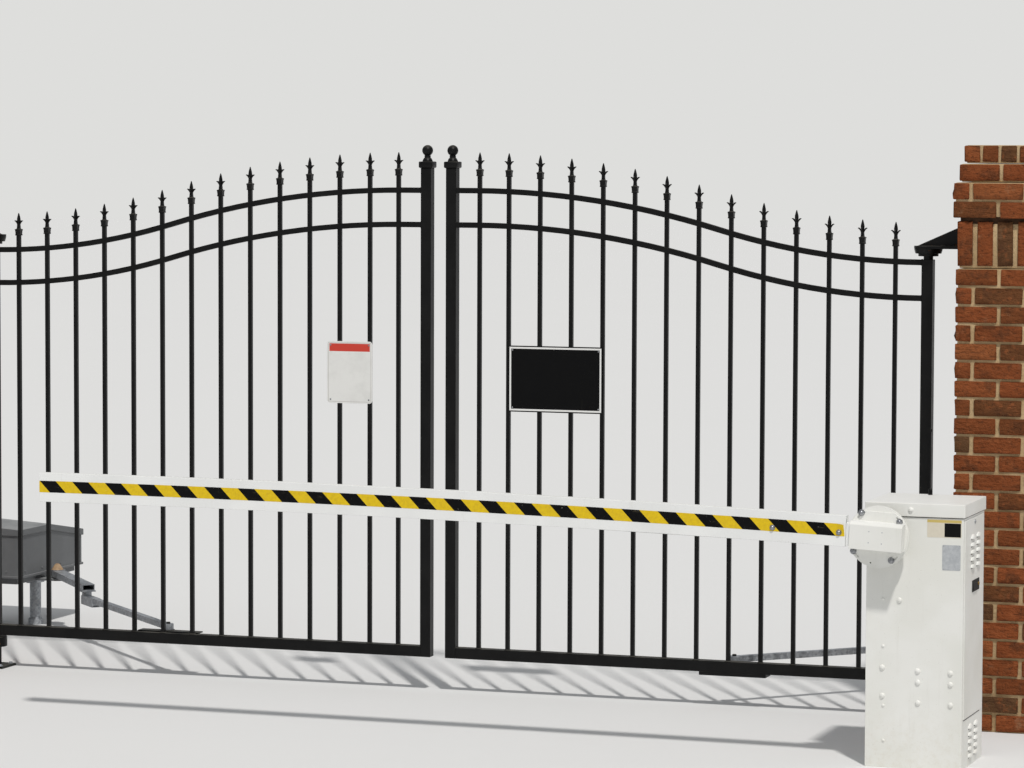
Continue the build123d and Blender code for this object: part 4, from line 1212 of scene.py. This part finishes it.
def barrier_arm():
    """Hub with its arc slots and bolts, clamp, stub, and the boom with its end plate, bolts and tape."""
    plate_face = clamp_high.y
    cutters = [slot_cutter(turn + 8, 20, BOLT_CIRCLE, 0.0060, plate_face) for turn in BOLT_TURNS]
    softened("barrier_hub", WHITE, 0.0014, cutters=cutters, pierced=True)
    clamp()
    softened("barrier_stub", BOOM_WHITE, 0.001)
    end = block((-0.0150, 0.0025, -0.0605), (-0.0125, 0.0425, 0.0605))
    moved(end, at(*on_boom(0, 0, boom_low.y)) @ about("Y", degrees(REST)) @ at(0.0120, 0, 0))
    dressed("boom_end_plate", end, BOOM_WHITE, ARM)
    softened("boom", BOOM_WHITE, 0.0022)
    bolt = joined([hex_bolt(0.0090, 0.004), dome(0.0130, 0.0145, 20)])
    spots = [on_hub(BOLT_CIRCLE * cos(radians(turn)) - 0.0050, BOLT_CIRCLE * sin(radians(turn)) + 0.0025,
                    plate_face) for turn in BOLT_TURNS]
    set_out("hub_bolts", bolt, spots, BRIGHT, ARM)
    spots = [on_hub(x, z, clamp_low.y) for x in (-0.0240, 0.0310) for z in (0.0270, -0.0190)]
    set_out("clamp_rivets", dome(0.0026, 0.0012, 10), spots, SILVER, ARM)
    plug = moved(dome(0.0030, 0.0012, 10), on_hub(-0.023, -0.1075, plate_face))
    dressed("hub_plug", plug, DARK, ARM)
    bolt = joined([hex_bolt(0.0078, 0.0050), dome(0.0108, 0.0115, 18)])
    spots = [at(*on_boom(s, BOOM_BOLT_LINE, boom_low.y - 0.0004)) @ TO_ROAD for s in BOOM_BOLTS]
    set_out("boom_bolts", bolt, spots, BRIGHT, ARM)
    spots = [at(*on_boom(s, BOOM_BOLT_LINE, boom_high.y)) @ TO_YARD for s in BOOM_BOLTS]
    set_out("boom_nuts", hex_bolt(0.0070, 0.0070), spots, BRIGHT, ARM)
    tape()


barrier_arm()


# Floor, light and camera

FLOOR_LOW, FLOOR_HIGH = (0.772, 0.774, 0.772, 1), (0.782, 0.784, 0.782, 1)
BACKDROP = (0.731, 0.731, 0.716, 1)
SKY, SKY_STRENGTH = (0.95, 0.975, 1.0, 1), 0.40
SUN_COLOUR, SUN_STRENGTH, SUN_WIDTH = (1.0, 0.97, 0.93), 2.15, radians(3)
SUN_WAY = Vector((-0.50, 0.80, -1.5))
EYE = (3.0975, -16.0302, 2.5571)
EYE_TURN, EYE_DIP, EYE_ROLL = 19.109, 3.720, 0.194
FOCAL_LENGTH, IMAGE_WIDTH, SENSOR = 3661.9, 1024, 36.0


def studio():
    """A pale floor under an even sky, with a plain backdrop for the camera."""
    let_go()
    bpy.ops.mesh.primitive_plane_add(size=160, location=(0, 20, 0))
    floor = bpy.context.object
    floor.name = "floor"
    f = Finish("pale_floor")
    cloud = f.noise(f.place(), 0.4, 2)
    floor.data.materials.append(f.surface(f.blend(cloud, FLOOR_LOW, FLOOR_HIGH), 0.9, gleam=0.1))

    world = bpy.data.worlds.new("soft_sky")
    bpy.context.scene.world = world
    world.use_nodes = True
    tree = world.node_tree
    tree.nodes.clear()
    rays = tree.nodes.new("ShaderNodeLightPath")
    lit = tree.nodes.new("ShaderNodeBackground")
    lit.inputs["Color"].default_value = SKY
    lit.inputs["Strength"].default_value = SKY_STRENGTH
    seen = tree.nodes.new("ShaderNodeBackground")
    seen.inputs["Color"].default_value = BACKDROP
    mix = tree.nodes.new("ShaderNodeMixShader")
    out = tree.nodes.new("ShaderNodeOutputWorld")
    tree.links.new(rays.outputs["Is Camera Ray"], mix.inputs[0])
    tree.links.new(lit.outputs[0], mix.inputs[1])
    tree.links.new(seen.outputs[0], mix.inputs[2])
    tree.links.new(mix.outputs[0], out.inputs["Surface"])


def sun():
    """A slightly soft lamp from the upper right of the road side."""
    let_go()
    bpy.ops.object.light_add(type="SUN", location=(8, -12, 18))
    light = bpy.context.object
    light.name = "sun"
    light.data.angle = SUN_WIDTH
    light.data.energy = SUN_STRENGTH
    light.data.color = SUN_COLOUR
    light.rotation_mode = "QUATERNION"
    light.rotation_quaternion = SUN_WAY.to_track_quat("-Z", "Y")


def camera():
    """The photo's viewpoint; the focal length is in pixels of the photo."""
    let_go()
    bpy.ops.object.camera_add()
    eye = bpy.context.object
    eye.name = "camera"
    eye.matrix_world = at(*EYE) @ about("Z", EYE_TURN) @ about("X", 90 - EYE_DIP) @ about("Z", EYE_ROLL)
    eye.data.sensor_width = SENSOR
    eye.data.lens = FOCAL_LENGTH / IMAGE_WIDTH * SENSOR
    eye.data.clip_end = 400.0
    bpy.context.scene.camera = eye


studio()
sun()
camera()
bpy.context.scene.view_settings.view_transform = "Standard"
